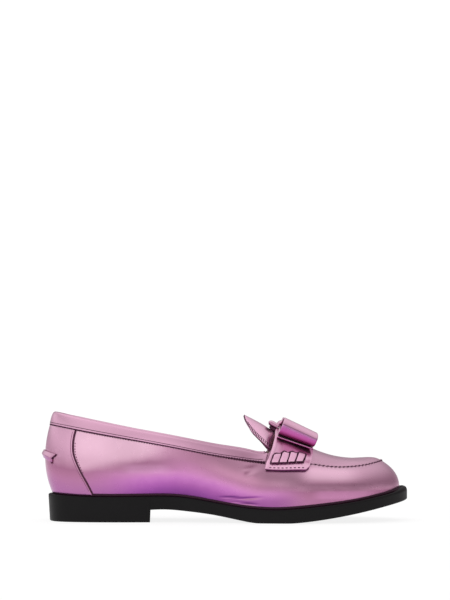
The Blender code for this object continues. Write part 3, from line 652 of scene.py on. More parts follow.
def stitchRow(name, rows, settings, finish):  # rows: surfaceRow pairs
    share = np.linspace(-0.5, 0.5, threadShape["stitchSteps"])
    arch = threadShape["arch"] * np.cos(np.pi * share) - threadShape["sink"] + settings.get("proud", 0.0)
    bow = settings["radius"] * mm * arch
    tilt = share * settings.get("slant", 0.0) * mm
    lines, ups = [], []
    for line, normals in rows:
        lengths = runLengths(line)
        count = max(1, int(lengths[-1] / (settings["pitch"] * mm)))
        middles = (np.arange(count) + 0.5) * lengths[-1] / count
        places = middles[:, None] + share[None] * settings["length"] * mm
        up = unit(readAlong(lengths, normals, places))
        points = readAlong(lengths, line, places)
        across = np.cross(unit(np.gradient(points, axis=1)), up)
        lines.append(points + up * bow[None, :, None] + across * tilt[None, :, None])
        ups.append(up)
    tubes(name, np.concatenate(lines), np.concatenate(ups), settings["radius"], finish)


def edgeLine(name, row, radius, finish):  # one flat line along a surfaceRow pair
    line, normals = row
    lengths = runLengths(line)
    count = max(threadShape["leastSteps"], int(lengths[-1] / (threadShape["linePitch"] * mm)))
    places = np.linspace(0, lengths[-1], count)
    up = unit(readAlong(lengths, normals, places))
    tubes(name, readAlong(lengths, line, places)[None], up[None], radius, finish, threadShape["lineFlat"])


# sole

soleUnit = {
    "breast": -53.6, "breastLean": 0.4, "breastTurn": 2.6, "turnReach": 20.0, "breastClear": 0.7,
    "flatEnd": 44.0, "spring": 15.2, "springBend": 1.45,
    "lip": 1.1, "toeLip": 2.0, "toeRise": 1.5, "toeFrom": 117.0, "toeRim": 0.12,
    "taper": 1.0, "treadRound": 1.0,
    "arch": ((-53.6, 8.8), (-44.0, 9.1), (-27.0, 7.8), (-11.0, 5.8), (10.0, 1.8), (24.0, 0.0)),
    "ribPitch": 5.2, "ribDepth": 0.8, "ribInset": (0.096, 0.16), "ribEdge": 0.25,
    "ribZones": ((-121.0, -60.0), (22.0, 118.0)), "zoneFade": 3.0,
    "step": 1.0, "roundSteps": 5, "wallSteps": 8, "acrossSteps": 25,
}
archRows = np.array(soleUnit["arch"]) * mm
archCurve = SmoothCurve(archRows[:, 0], archRows[:, 1], lastSlope=0.0)


def soleBottom(x):
    flatEnd, tip = soleUnit["flatEnd"] * mm, ledgeRows[-1, 0]
    rise = np.maximum(0, (x - flatEnd) / (tip - flatEnd)) ** soleUnit["springBend"]
    spring = soleUnit["spring"] * mm * rise
    return np.where(x < archRows[-1, 0], archCurve(x)[..., 0], np.where(x < flatEnd, 0.0, spring))


def toeShare(x):
    return smoothStep(soleUnit["toeFrom"] * mm, ledgeRows[-1, 0], x)


def ribShare(x):  # 1 in a groove of the tread
    edge, fade = soleUnit["ribEdge"], soleUnit["zoneFade"]
    rib = smoothStep(-edge, edge, np.sin(2 * np.pi * x / (soleUnit["ribPitch"] * mm)))
    return rib * sum(smoothStep(a * mm, (a + fade) * mm, x) * smoothStep(b * mm, (b - fade) * mm, x)
                     for a, b in soleUnit["ribZones"])


def makeSole():
    breast = float(placeAt(-1, 0.0, soleUnit["breast"] * mm))
    step = soleUnit["breastLean"] * mm
    places = finePlaces(soleUnit["step"] * mm)
    clear = np.abs(places - breast) > soleUnit["breastClear"] * mm
    places = np.sort(np.append(places[clear], [breast, breast + step]))
    heel = places <= breast + step / 2
    lip, taper, treadRound = (soleUnit[key] * mm for key in ("lip", "taper", "treadRound"))
    quarter = np.linspace(0, np.pi / 2, soleUnit["roundSteps"])
    sides = []
    turn = soleUnit["breastTurn"] * mm * np.exp(-((places - breast) / (soleUnit["turnReach"] * mm)) ** 2)
    for side, way in ((-1, places), (1, places - turn)):
        foot, outward, ledge = featherEdge(roundPlace(way, side))
        rim = foot + outward * ledge[:, None]
        toe = toeShare(rim[:, 0])
        top = ledgeHeight(rim[:, 0]) + soleUnit["toeRise"] * mm * toe
        edge = lip + soleUnit["toeLip"] * mm * toe
        lean = taper * (1 - toe)
        bottom = np.where(heel, 0.0, soleBottom(rim[:, 0]))
        levels = [(edge * (1 - math.sin(a)), top - edge * (1 - math.cos(a))) for a in quarter]
        wall = np.linspace(0, 1, soleUnit["wallSteps"])[1:]
        levels += [(lean * s, (top - edge) * (1 - s) + (bottom + treadRound) * s) for s in wall]
        levels += [(lean + treadRound * (1 - math.cos(a)), bottom + treadRound * (1 - math.sin(a)))
                   for a in quarter[1:]]
        rows = []
        for inset, height in levels:  # from the top edge to the tread
            row = rim - outward * inset[:, None]
            row[:, 2] = height
            rows.append(row)
        sides.append(np.stack(rows, 1))
    share = np.linspace(0, 1, soleUnit["acrossSteps"])
    inner = (share > 0) & (share < 1)
    inset = np.minimum(share, 1 - share)[inner]
    top, tread = (sides[0][:, None, level] * (1 - share)[:, None] + sides[1][:, None, level] * share[:, None]
                  for level in (0, -1))
    x = top[:, inner, 0]
    rimShare = 1 - smoothStep(0.0, soleUnit["toeRim"], inset)
    top[:, inner, 2] = ledgeHeight(x) + soleUnit["toeRise"] * mm * toeShare(x) * rimShare
    x = tread[:, inner, 0]
    groove = soleUnit["ribDepth"] * mm * ribShare(x) * smoothStep(*soleUnit["ribInset"], inset)
    tread[:, inner, 2] = np.where(heel[:, None], 0.0, soleBottom(x)) + groove
    points, faces = [], []
    for grid, turned in ((sides[0], True), (sides[1], False), (top, False), (tread, True)):
        start = sum(len(part) for part in points)
        points.append(grid.reshape(-1, 3))
        some = gridFaces(*grid.shape[:2])
        faces += [[start + k for k in (face[::-1] if turned else face)] for face in some]
    piece = meshPiece("soleUnit", np.concatenate(points), faces, blackRubber, "sole_rubber", ("sole",))
    outwardFaces(piece)


makeSole()
print("sole made")


# insole

insoleSock = {"thickness": 3.0, "inset": 2.3, "edgeRound": 0.5, "step": 2.5, "acrossSteps": 15}


def makeInsole():
    places = finePlaces(insoleSock["step"] * mm)
    ends = []
    for side in (-1, 1):
        foot, outward, _ = featherEdge(roundPlace(places, side))
        ends.append(foot - outward * insoleSock["inset"] * mm)
    share = np.linspace(0, 1, insoleSock["acrossSteps"])
    grid = ends[0][:, None] * (1 - share)[:, None] + ends[1][:, None] * share[:, None]
    grid[..., 2] = ledgeHeight(grid[..., 0]) + gap
    sheetPiece("insoleSock", grid, sockLeather, insoleSock["thickness"], 1, insoleSock["edgeRound"],
               slot="lining_leather", replaces=("insole",))


makeInsole()


# upper with its lining, and the painted shade line where it meets the sole

upperLeather = {
    "leather": 1.0, "lining": 0.6, "wall": 1.7, "step": 1.9,
    # how finely the height is cut: from, to, rows
    "bands": ((0.0, 0.9, 60), (0.9, 1.1, 23), (1.1, 2.0, 26)), "liningBand": (0.02, 1.96, 44),
    "seamRise": 0.65, "seamSpread": 0.030, "seamFade": (61.0, 64.0),
    "soleLine": 1.3, "soleLineAt": 0.016, "soleLineSteps": 600,
    "creaseEnds": (0.02, 0.98), "creaseFade": 0.7,
    # creases, alike on both sides: start and end as place along and height, width, depth
    "creases": (
        (14.3, 33.6, 23.6, 41.6, 1.5, 0.80), (12.1, 36.6, 20.2, 40.4, 1.3, 0.58),
        (10.0, 34.4, 17.5, 38.2, 1.6, -0.40), (17.5, 32.0, 25.0, 37.8, 1.4, -0.40),
        (21.6, 33.2, 24.0, 40.5, 1.2, 0.45), (-2.0, 15.9, 25.0, 18.1, 0.8, 0.32),
        (7.0, 14.1, 23.0, 12.9, 0.7, 0.28), (-4.0, 17.7, 10.0, 18.0, 0.7, 0.32),
        (2.0, 14.7, 14.0, 15.4, 0.6, 0.28),
    ),
}


def seamLift(q, w):
    ahead = smoothStep(*(np.array(upperLeather["seamFade"]) * mm), seamLoop(q)[..., 0])
    return upperLeather["seamRise"] * mm * ahead * np.exp(-((w - 1) / upperLeather["seamSpread"]) ** 2)


def creaseLift(points):
    lift = np.zeros(points.shape[:-1])
    for x0, z0, x1, z1, width, depth in upperLeather["creases"]:
        start, end = np.array([x0, z0]) * mm, np.array([x1, z1]) * mm
        reach = end - start
        flat = points[..., [0, 2]] - start
        along = np.clip(flat @ reach / (reach @ reach), 0, 1)
        away = np.linalg.norm(flat - along[..., None] * reach, axis=-1)
        fade = np.sin(np.pi * np.clip(along, *upperLeather["creaseEnds"])) ** upperLeather["creaseFade"]
        lift -= depth * mm * fade * np.exp(-(away / (width * mm)) ** 2)
    return lift


def makeUpper():
    places = finePlaces(upperLeather["step"] * mm)
    loop = np.concatenate([places, 2 * toePlace - places[-2:0:-1]])[:, None]
    heights = collarShare(loop, cutBands(upperLeather["bands"])[None])
    plain = lastPoint(loop, heights)
    lift = seamLift(loop, heights) + creaseLift(plain)
    outside = plain + surfaceNormal(loop, heights) * lift[..., None]
    sheetPiece("upperLeather", outside, quarterLeather, upperLeather["leather"], -1, closed=True,
               replaces=("upper",))
    inner = loop[::2]
    rise = collarShare(inner, np.linspace(*upperLeather["liningBand"])[None])
    inside = upperPoint(inner, rise, -(upperLeather["wall"] - upperLeather["lining"]) * mm)
    sheetPiece("upperLining", inside, liningLeather, upperLeather["lining"], -1, closed=True,
               slot="lining_leather")


def makeSoleShadeLine():
    way = np.linspace(0, 2 * toePlace, upperLeather["soleLineSteps"])
    row = surfaceRow(way, upperLeather["soleLineAt"], 0.0)
    # dark line at the foot of the upper: painted shade and painted reflection of the sole
    edgeLine("soleShadeLine", row, upperLeather["soleLine"], seamShade)


makeUpper()
makeSoleShadeLine()
print("upper made")


# heel counter

heelCounter = {
    "gap": 0.5, "thickness": 0.7, "edgeRound": 0.3, "foot": 0.02, "head": 0.985, "steps": (97, 34),
    # share of the wall height, place along of the front edge
    "edge": ((0.00, -94.0), (0.17, -97.7), (0.33, -102.0), (0.50, -106.0), (0.63, -108.1), (0.75, -108.5),
             (0.88, -107.9), (1.00, -106.5)),
    "edgeLine": 0.62, "edgeAhead": 0.35, "edgeLift": 0.35,
    "rowInset": 1.1, "rowLine": 0.20, "rowAhead": 1.7, "rowLift": 0.1, "rowSpan": (0.33, 0.82),
    "stitches": {"pitch": 1.9, "length": 1.2, "radius": 0.25},
}
sewnGap = heelCounter["gap"] * mm
counterTable = np.array(heelCounter["edge"])
counterCurve = SmoothCurve(counterTable[:, 0], counterTable[:, 1:] * mm)


def counterEdge(side, w, ahead=0.0):
    return placeAt(side, w, counterCurve(w)[..., 0] + ahead * mm)


def makeCounter():
    around, up = heelCounter["steps"]
    heights = np.linspace(heelCounter["foot"], heelCounter["head"], up)
    edge = counterEdge(-1, heights)
    share = np.linspace(-1, 1, around)[:, None]
    grid = upperPoint(edge[None] * share, heights[None], sewnGap)
    sheetPiece("heelCounter", grid, pinkLeather, heelCounter["thickness"], 1, heelCounter["edgeRound"],
               replaces=("heel_counter",))
    face = sewnGap + heelCounter["thickness"] * mm
    low, top = heelCounter["rowSpan"]
    sewn, high = heights[2:-1], heights[(heights > low) & (heights < top)]
    ahead = []
    for side, name in ((-1, "Outer"), (1, "Inner")):
        q = counterEdge(side, heights, heelCounter["edgeAhead"])
        row = surfaceRow(q, heights, heelCounter["edgeLift"] * mm)
        # dark edge line: edge dye with painted shade along the step
        edgeLine("counterEdge" + name, row, heelCounter["edgeLine"], edgeDyeAndShade)
        q = counterEdge(side, sewn, -heelCounter["rowInset"])
        edgeLine("counterStitch" + name, surfaceRow(q, sewn, face), heelCounter["rowLine"], pinkThread)
        q = counterEdge(side, high, heelCounter["rowAhead"])
        ahead.append(surfaceRow(q, high, heelCounter["rowLift"] * mm))
    stitchRow("quarterStitch", ahead, heelCounter["stitches"], pinkThread)


makeCounter()


# collar band, folded over the top edge

collarBand = {
    "thickness": 0.9, "edgeRound": 0.35, "end": 27.8, "foldAt": 1.80, "foldRadius": 1.3, "insideTo": 1.50,
    "steps": 261, "outsideSteps": 18, "foldSteps": 15, "insideSteps": 12, "lineSteps": 400,
    "row": 1.13, "rowLine": 0.24, "rowTrim": 3,
    "edgeAt": 0.992, "edgeFacing": 0.98, "edgeLine": 0.34, "edgeLift": 0.45, "stitchLift": 0.75,
    "edgeStitches": {"pitch": 1.9, "length": 1.2, "radius": 0.52, "proud": 0.2},
}


def makeCollar():
    end = float(placeAt(-1, 1.0, collarBand["end"] * mm))
    q = np.linspace(-end, end, collarBand["steps"])[:, None]
    radius, top = collarBand["foldRadius"] * mm, collarBand["foldAt"]
    outside = upperPoint(q, collarShare(q, np.linspace(1.0, top, collarBand["outsideSteps"])[None]), sewnGap)
    foldAt = collarShare(q, top)
    normal = surfaceNormal(q, foldAt)
    step = probe["along"]
    up = unit(np.cross(normal, lastPoint(q + step, foldAt) - lastPoint(q - step, foldAt)))
    middle = lastPoint(q, foldAt) + normal * (sewnGap - radius)
    turn = np.linspace(0, np.pi, collarBand["foldSteps"])[1:-1]
    over = middle + radius * (np.cos(turn)[None, :, None] * normal + np.sin(turn)[None, :, None] * up)
    under = collarShare(q, np.linspace(top, collarBand["insideTo"], collarBand["insideSteps"])[None])
    inside = upperPoint(q, under, sewnGap - 2 * radius)
    sheetPiece("collarBand", np.concatenate([outside, over, inside], 1), collarLeather,
               collarBand["thickness"], 1, collarBand["edgeRound"], replaces=("collar_band",))
    way = np.linspace(-end, end, collarBand["lineSteps"])
    facing = surfaceNormal(way, collarBand["edgeFacing"])
    line, beads = (upperPoint(way, collarBand["edgeAt"], collarBand[key] * mm)
                   for key in ("edgeLift", "stitchLift"))
    # dark edge line: edge dye with painted shade along the step
    edgeLine("collarEdge", (line, facing), collarBand["edgeLine"], edgeDyeAndShade)
    stitchRow("collarEdgeStitch", [(beads, facing)], collarBand["edgeStitches"], darkThread)
    face = sewnGap + collarBand["thickness"] * mm
    way = way[collarBand["rowTrim"]:-collarBand["rowTrim"]]
    edgeLine("collarStitch", surfaceRow(way, collarBand["row"], face), collarBand["rowLine"], darkThread)


makeCollar()


# back tab

heelTab = {
    "end": -119.8, "middle": 0.578, "sag": 0.060, "halfHeight": 0.048, "widen": 0.45,
    "pinch": 1.2, "pinchBend": 1.3, "pinchFade": 0.8, "thickness": 0.8, "edgeRound": 0.3,
    "notch": 0.16, "notchBend": 6, "notchRise": (-0.1, 1.0), "steps": (61, 23),
    "line": 0.32, "lineAt": 1.01, "lineReach": 1.1, "lineLift": 0.2, "lineSteps": 24,
}


def tabRow(share, rise, lift):
    base = 2 * sewnGap + heelCounter["thickness"] * mm
    end = float(placeAt(-1, heelTab["middle"], heelTab["end"] * mm))
    below = 1 - smoothStep(*heelTab["notchRise"], rise)
    hollow = heelTab["notch"] * np.abs(share) ** heelTab["notchBend"] * below  # ends cut back below
    half = heelTab["halfHeight"] * (1 + heelTab["widen"] * share ** 2)
    w = heelTab["middle"] - heelTab["sag"] * share ** 2 + half * rise
    pinch = heelTab["pinch"] * mm * np.maximum(0, 1 - np.abs(rise)) ** heelTab["pinchBend"]
    pinch = pinch * (1 - heelTab["pinchFade"] * share ** 2)
    return surfaceRow(end * share * (1 - hollow), w, base + pinch + lift)


def makeTab():
    around, up = heelTab["steps"]
    grid, _ = tabRow(np.linspace(-1, 1, around)[:, None], np.linspace(-1, 1, up)[None], 0.0)
    sheetPiece("heelTab", grid, pinkLeather, heelTab["thickness"], 1, heelTab["edgeRound"],
               replaces=("heel_tab",))
    rise = np.linspace(heelTab["lineReach"], -heelTab["lineReach"], heelTab["lineSteps"])
    for name, way in (("Outer", 1), ("Inner", -1)):
        row = tabRow(way * heelTab["lineAt"] + 0 * rise, rise, heelTab["lineLift"] * mm)
        edgeLine("tabEnd" + name, row, heelTab["line"], edgeDyeAndShade)


makeTab()
print("heel pieces made")


# tongue

tonguePiece = {
    "thickness": 1.8, "edgeRound": 0.4, "steps": (60, 41), "tipCrowd": 1.6,
    # place along, ridge height, half-width, fall from ridge to edge
    "rows": (
        (13.3, 76.1, 2.0, 1.0), (14.0, 75.8, 5.8, 3.9), (15.3, 75.1, 9.0, 6.3), (17.4, 74.1, 12.2, 8.5),
        (20.7, 72.4, 15.8, 10.7), (25.0, 70.1, 20.0, 12.6), (29.0, 67.7, 22.4, 13.8),
        (31.6, 66.0, 22.2, 14.8), (33.4, 65.2, 21.4, 16.2), (35.0, 64.2, 20.6, 17.2),
        (36.7, 62.0, 19.9, 15.6), (40.0, 59.4, 18.5, 12.2), (45.0, 56.8, 16.0, 8.4),
    ),
    "trimFrom": 0.1, "trimEnd": 33.5, "trimWidth": 3.0, "trimLift": 0.05, "trimThickness": 0.45,
    "trimRound": 0.2, "trimSteps": (80, 9), "edgeFall": 1.7, "leastShare": 0.02,
    "line": 0.45, "lineAway": 0.1, "lineLift": 0.1, "lineFrom": 8,
    "tickFrom": 1.2, "tickPitch": 1.8, "tickInset": (0.4, 2.6), "tickRadius": 0.36, "tickSteps": 6,
    "tickLeast": 0.03,
}
tongueRows = np.array(tonguePiece["rows"]) * mm
tongueCurve = SmoothCurve(tongueRows[:, 0], tongueRows[:, 1:])


def tonguePoint(x, share):
    x, share = np.broadcast_arrays(x, share)
    ridge, half, fall = np.moveaxis(tongueCurve(x), -1, 0)
    return np.stack([x, half * share, ridge - fall * share ** 2], -1)


def tongueLift(x, share, lift):  # a little above the tongue's upper face
    along = tonguePoint(x + probe["edge"], share) - tonguePoint(x - probe["edge"], share)
    across = tonguePoint(x, share + probe["across"]) - tonguePoint(x, share - probe["across"])
    normal = unit(np.cross(along, across))
    return tonguePoint(x, share) + normal * lift, normal


def makeTongue():
    rows, across = tonguePiece["steps"]
    step = np.linspace(0, 1, rows) ** tonguePiece["tipCrowd"]
    x = tongueRows[0, 0] + (tongueRows[-1, 0] - tongueRows[0, 0]) * step
    grid = tonguePoint(x[:, None], np.linspace(-1, 1, across)[None])
    sheetPiece("tonguePiece", grid, pinkLeather, tonguePiece["thickness"], -1, tonguePiece["edgeRound"],
               replaces=("tongue",))
    rows, across = tonguePiece["trimSteps"]
    x = np.linspace(tongueRows[0, 0] + tonguePiece["trimFrom"] * mm, tonguePiece["trimEnd"] * mm, rows)
    half, fall = tongueCurve(x)[:, 1], tongueCurve(x)[:, 2]
    length = half * np.sqrt(1 + (tonguePiece["edgeFall"] * fall / half) ** 2)  # way in from the edge
    lengths = runLengths(tonguePoint(x, 1.0 + 0 * x))
    ticksAt = np.arange(tonguePiece["tickFrom"] * mm, lengths[-1], tonguePiece["tickPitch"] * mm)
    ticksAt = np.interp(ticksAt, lengths, x)[:, None]
    lift, width = tonguePiece["trimLift"], tonguePiece["trimWidth"]
    ticks, ups = [], []
    for way, name in ((-1, "Outer"), (1, "Inner")):
        inset = np.linspace(width * mm, 0, across)[None]
        share = way * np.maximum(tonguePiece["leastShare"], 1 - inset / length[:, None])
        grid, _ = tongueLift(x[:, None], share, lift * mm)
        sheetPiece("tongueTrim" + name, grid if way > 0 else grid[:, ::-1], pinkLeather,
                   tonguePiece["trimThickness"], 1, tonguePiece["trimRound"])
        inset = np.linspace(*tonguePiece["tickInset"], tonguePiece["tickSteps"])[None] * mm
        share = way * np.maximum(tonguePiece["tickLeast"], 1 - inset / np.interp(ticksAt, x, length))
        line, up = tongueLift(ticksAt, share, (lift + tonguePiece["trimThickness"]) * mm)
        ticks.append(line)
        ups.append(up)
        inset, start = (width + tonguePiece["lineAway"]) * mm, tonguePiece["lineFrom"]
        share = way * np.maximum(tonguePiece["leastShare"], 1 - inset / length)
        row = tongueLift(x[start:], share[start:], tonguePiece["lineLift"] * mm)
        edgeLine("tongueTrimEdge" + name, row, tonguePiece["line"], edgeDyeAndShade)
    tubes("tongueStitch", np.concatenate(ticks), np.concatenate(ups), tonguePiece["tickRadius"], darkThread)


makeTongue()


# saddle strap

saddleStrap = {
    "gap": 0.7, "thickness": 1.4, "edgeRound": 0.4, "tabReach": 0.805, "tabDrop": 0.05,
    # share of the way from ridge to tab end, rear edge, front edge
    "edges": (
        (0.00, 36.4, 62.0), (0.30, 35.5, 61.8), (0.60, 32.2, 61.1), (0.85, 29.2, 59.5),
        (0.94, 28.4, 58.5), (1.00, 27.9, 56.0),
    ),
    "rim": 0.50, "rimAt": 0.03, "rimWidth": 0.050,
    # how finely it is cut, down to the tab end and from rear to front: from, to, rows
    "reachBands": ((0.86, 1.0, 9), (0.0, 0.86, 34)), "shareBands": ((0.0, 0.12, 9), (0.12, 1.0, 24)),
    "rowReach": 0.972, "rowSpan": (0.06, 0.94, 60),
    "stitches": {"pitch": 2.6, "length": 1.9, "radius": 0.27},
}
strapTable = np.array(saddleStrap["edges"]) * np.array([1, mm, mm])


def strapPlace(side, reach, share):
    side, reach, share = np.broadcast_arrays(side, np.asarray(reach, float), np.asarray(share, float))
    w = 2.0 - (2.0 - saddleStrap["tabReach"] + saddleStrap["tabDrop"] * share) * reach
    rear = np.interp(reach, strapTable[:, 0], strapTable[:, 1])
    front = np.interp(reach, strapTable[:, 0], strapTable[:, 2])
    return placeAt(side, w, rear + (front - rear) * share), w


def makeStrap():
    reach = cutBands(saddleStrap["reachBands"])[::-1]
    signed = np.concatenate([reach, -reach[-2::-1]])
    side = np.where(np.arange(len(signed)) < len(reach), -1, 1)
    share = cutBands(saddleStrap["shareBands"])
    q, w = strapPlace(side[None], np.abs(signed)[None], share[:, None])
    rim = np.exp(-((share - saddleStrap["rimAt"]) / saddleStrap["rimWidth"]) ** 2)[:, None]
    grid = easedPoint(q, w, saddleStrap["gap"] * mm + saddleStrap["rim"] * mm * rim)
    sheetPiece("saddleStrap", grid, strapLeather, saddleStrap["thickness"], 1, saddleStrap["edgeRound"],
               replaces=("saddle_strap",))
    face = (saddleStrap["gap"] + saddleStrap["thickness"]) * mm
    span = np.linspace(*saddleStrap["rowSpan"])
    rows = [surfaceRow(*strapPlace(way, saddleStrap["rowReach"], span), face) for way in (-1, 1)]
    stitchRow("strapStitch", rows, saddleStrap["stitches"], darkThread)


makeStrap()


# lace loops through the strap's two tabs

laceLoops = {
    "slits": (32.4, 38.2, 44.0, 49.6, 55.2), "slitWidth": 1.2, "lean": 1.8, "low": 0.924, "high": 1.165,
    "crown": 0.5, "crownFall": 0.5, "thickness": 0.8, "edgeRound": 0.35, "steps": (15, 19),
    "slitLine": 0.70, "slitReach": (-0.06, 1.06, 16), "slitSink": 0.15, "slitFlat": 0.6,
    "headLine": 0.60, "footLine": 0.36, "lineLift": 0.64, "lineSteps": 90, "wave": 0.018, "footWave": 0.5,
}


def makeLaces():
    base = (saddleStrap["gap"] + saddleStrap["thickness"]) * mm + sewnGap
    low, high = laceLoops["low"], laceLoops["high"]
    slits = np.array(laceLoops["slits"]) * mm
    width, lean = laceLoops["slitWidth"] * mm, laceLoops["lean"] * mm
    across, up = laceLoops["steps"]
    rise = np.linspace(0, 1, up)[None]
    share = np.linspace(0, 1, across)[:, None]
    run = np.linspace(*laceLoops["slitReach"])
    for way, name in ((-1, "outer"), (1, "inner")):
        for number in range(1, len(slits)):
            rear, front = slits[number - 1], slits[number]
            x = rear + width / 2 + (front - rear - width) * share + lean * (rise - 0.5)
            flatter = 1 - laceLoops["crownFall"] * (2 * share - 1) ** 4
            crown = laceLoops["crown"] * mm * np.sin(np.pi * rise) * flatter
            w = low + (high - low) * rise + 0 * x
            grid = easedPoint(placeAt(way, w, x), w, base + crown)
            sheetPiece(f"laceLoop_{name}_{number}", grid if way < 0 else grid[::-1], pinkLeather,
                       laceLoops["thickness"], 1, laceLoops["edgeRound"],
                       replaces=(f"strap_lace_{name}_{number}",))
        height = low + (high - low) * run
        cuts = [surfaceRow(placeAt(way, height, slit + lean * (run - 0.5)), height,
                           base - laceLoops["slitSink"] * mm) for slit in slits]
        lines, ups = (np.array(values) for values in zip(*cuts))
        # dark tubes in the cuts: painted shade
        tubes(f"laceSlits_{name}", lines, ups, laceLoops["slitLine"], edgeDyeAndShade, laceLoops["slitFlat"])
        x = np.linspace(slits[0], slits[-1], laceLoops["lineSteps"])
        wave = laceLoops["wave"] * np.sin(2 * np.pi * np.interp(x, slits, np.arange(len(slits))))
        foot = low - laceLoops["footWave"] * np.abs(wave)
        for end, height, push in (("Head", high + wave, lean / 2), ("Foot", foot, -lean / 2)):
            row = surfaceRow(placeAt(way, height, x + push), height, base + laceLoops["lineLift"] * mm)
            edgeLine(f"lace{end}_{name}", row, laceLoops[end.lower() + "Line"], edgeDyeAndShade)


makeLaces()
print("strap made")


# bow

bowShape = {
    "x": 50.0, "z": 58.1, "tilt": 23.0,
    "rear": -13.4, "front": 13.8, "rearSweep": 1.0, "frontSweep": 5.0, "sweepBend": 1.6,
    "half": 23.5, "taper": 0.14, "middle": 4.7,
    # sideways place, height above the ridge, round one loop and along half the strip under it
    "loop": (
        (0.0, 6.2), (4.8, 6.4), (10.0, 8.4), (15.6, 10.4), (20.4, 10.0), (23.2, 7.2), (23.5, 3.3),
        (22.6, 0.6), (20.6, 0.1), (17.8, 1.4), (14.4, 2.9), (9.8, 4.2), (4.8, 4.8), (0.0, 4.9),
    ),
    "base": (
        (0.0, 3.5), (5.0, 3.2), (9.0, 2.5), (12.0, 1.8), (15.0, 0.8), (18.0, -0.4), (20.6, -1.5),
        (23.4, -2.4),
    ),
    # place along, height and half-thickness: the wrap over the loops, its padded end, the fold under that,
    # dark as painted shade
    "wrap": (
        (-15.0, 3.6, 1.1), (-15.2, 4.8, 1.5), (-14.9, 6.4, 1.7), (-13.9, 7.7, 1.6), (-11.8, 8.4, 1.5),
        (-6.0, 8.6, 1.2), (0.0, 8.5, 1.2), (6.5, 8.4, 1.2), (10.6, 7.6, 1.3), (12.7, 5.4, 1.4),
        (13.1, 3.6, 1.1), (12.9, 2.5, 0.8),
    ),
    "padded": (
        (-22.5, 4.5, 0.3), (-22.2, 4.5, 1.0), (-21.5, 4.4, 1.7), (-20.4, 4.2, 2.1), (-18.6, 4.0, 2.2),
        (-17.0, 3.8, 2.1), (-15.6, 3.6, 2.0), (-14.9, 3.5, 1.8),
    ),
    "fold": (
        (-20.6, 1.5, 0.3), (-20.2, 1.4, 0.8), (-19.2, 1.2, 1.2), (-17.8, 0.9, 1.4), (-16.6, 0.9, 1.4),
        (-15.6, 0.8, 1.4), (-14.6, 0.6, 1.2),
    ),
    "knotHalfWidth": 4.6, "knotRound": (0.55, 0.75),
    "ribbon": 1.1, "strip": 1.1, "edgeRound": 0.4,
    "loopSteps": 220, "stripSteps": 40, "ribbonSteps": 22, "knotSteps": (60, 32),
}


def bowPoint(along, across, height):
    tilt = math.radians(bowShape["tilt"])
    along, across, height = np.broadcast_arrays(along, across, height)
    return np.stack([bowShape["x"] * mm + along * math.cos(tilt) + height * math.sin(tilt), across,
                     bowShape["z"] * mm - along * math.sin(tilt) + height * math.cos(tilt)], -1)


def ribbonGrid(path):
    out = np.minimum(1, np.abs(path[:, 0]) / (bowShape["half"] * mm))
    sweep = 1 - out ** bowShape["sweepBend"]
    rear = (bowShape["rear"] - bowShape["rearSweep"] * sweep) * mm
    front = (bowShape["front"] - bowShape["frontSweep"] * sweep) * mm
    share = np.linspace(0, 1, bowShape["ribbonSteps"])[None]
    along = rear[:, None] * (1 - share) + front[:, None] * share
    taper = bowShape["taper"] * out * (path[:, 1] - bowShape["middle"] * mm)
    height = path[:, 1:] + taper[:, None] * along / (bowShape["rear"] * mm)
    return bowPoint(along, path[:, :1], height)


def pathPoints(rows, count, period=False):
    lengths = runLengths(rows)
    if period:
        curve = SmoothCurve(lengths[:-1], rows[:-1], lengths[-1])
        return curve(np.linspace(0, lengths[-1], count, endpoint=False))
    return SmoothCurve(lengths, rows)(np.linspace(0, lengths[-1], count))


def makeBow():
    half = np.array(bowShape["loop"]) * mm
    other = half[1:-1][::-1] * np.array([-1, 1])
    ring = np.vstack([half, other, half[:1]])
    loops = ribbonGrid(pathPoints(ring, bowShape["loopSteps"], period=True))
    sheetPiece("bowLoops", loops, bowLeather, bowShape["ribbon"], 0, bowShape["edgeRound"], closed=True,
               replaces=("bow_loops",))
    half = pathPoints(np.array(bowShape["base"]) * mm, bowShape["stripSteps"])
    strip = np.vstack([half[:0:-1] * np.array([-1, 1]), half])
    sheetPiece("bowBase", ribbonGrid(strip), bowLeather, bowShape["strip"], 0, bowShape["edgeRound"],
               replaces=("bow_base",))
    makeKnot()


def paddedBand(key):  # closed tube of rounded section along a path over the bow
    count, sides = bowShape["knotSteps"]
    rows = pathPoints(np.array(bowShape[key]) * mm, count)
    along = unit(np.gradient(rows[:, :2], axis=0))
    outward = np.stack([-along[:, 1], along[:, 0]], -1)
    turn = np.linspace(0, 2 * np.pi, sides + 1)[:-1]
    across, lift = (np.sign(wave) * np.abs(wave) ** bend
                    for wave, bend in zip((np.cos(turn), np.sin(turn)), bowShape["knotRound"]))
    place = rows[:, None, :2] + outward[:, None] * (rows[:, 2:] * lift[None])[..., None]
    width = bowShape["knotHalfWidth"] * mm * across[None] + 0 * place[..., 0]
    points = bowPoint(place[..., 0], width, place[..., 1])
    i, k = np.arange(count - 1)[:, None], np.arange(sides)[None]
    here, beside = i * sides + k, i * sides + (k + 1) % sides
    faces = np.stack([here, here + sides, beside + sides, beside], -1).reshape(-1, 4).tolist()
    faces += [list(range(sides)), [(count - 1) * sides + sides - 1 - k for k in range(sides)]]
    return points.reshape(-1, 3), faces


def makeKnot():
    wrap, faces = paddedBand("wrap")
    padded, more = paddedBand("padded")
    faces += [[len(wrap) + k for k in face] for face in more]
    points = np.concatenate([wrap, padded])
    knot = meshPiece("bowKnot", points, faces, wrapLeather, "upper_leather", ("bow_knot",))
    # the fold is dyed dark: partly a strand of the knot, partly painted shade
    fold = meshPiece("bowKnotFold", *paddedBand("fold"), edgeDyeAndShade, "upper_leather")
    for piece in (knot, fold):
        outwardFaces(piece)


makeBow()


# apron seam

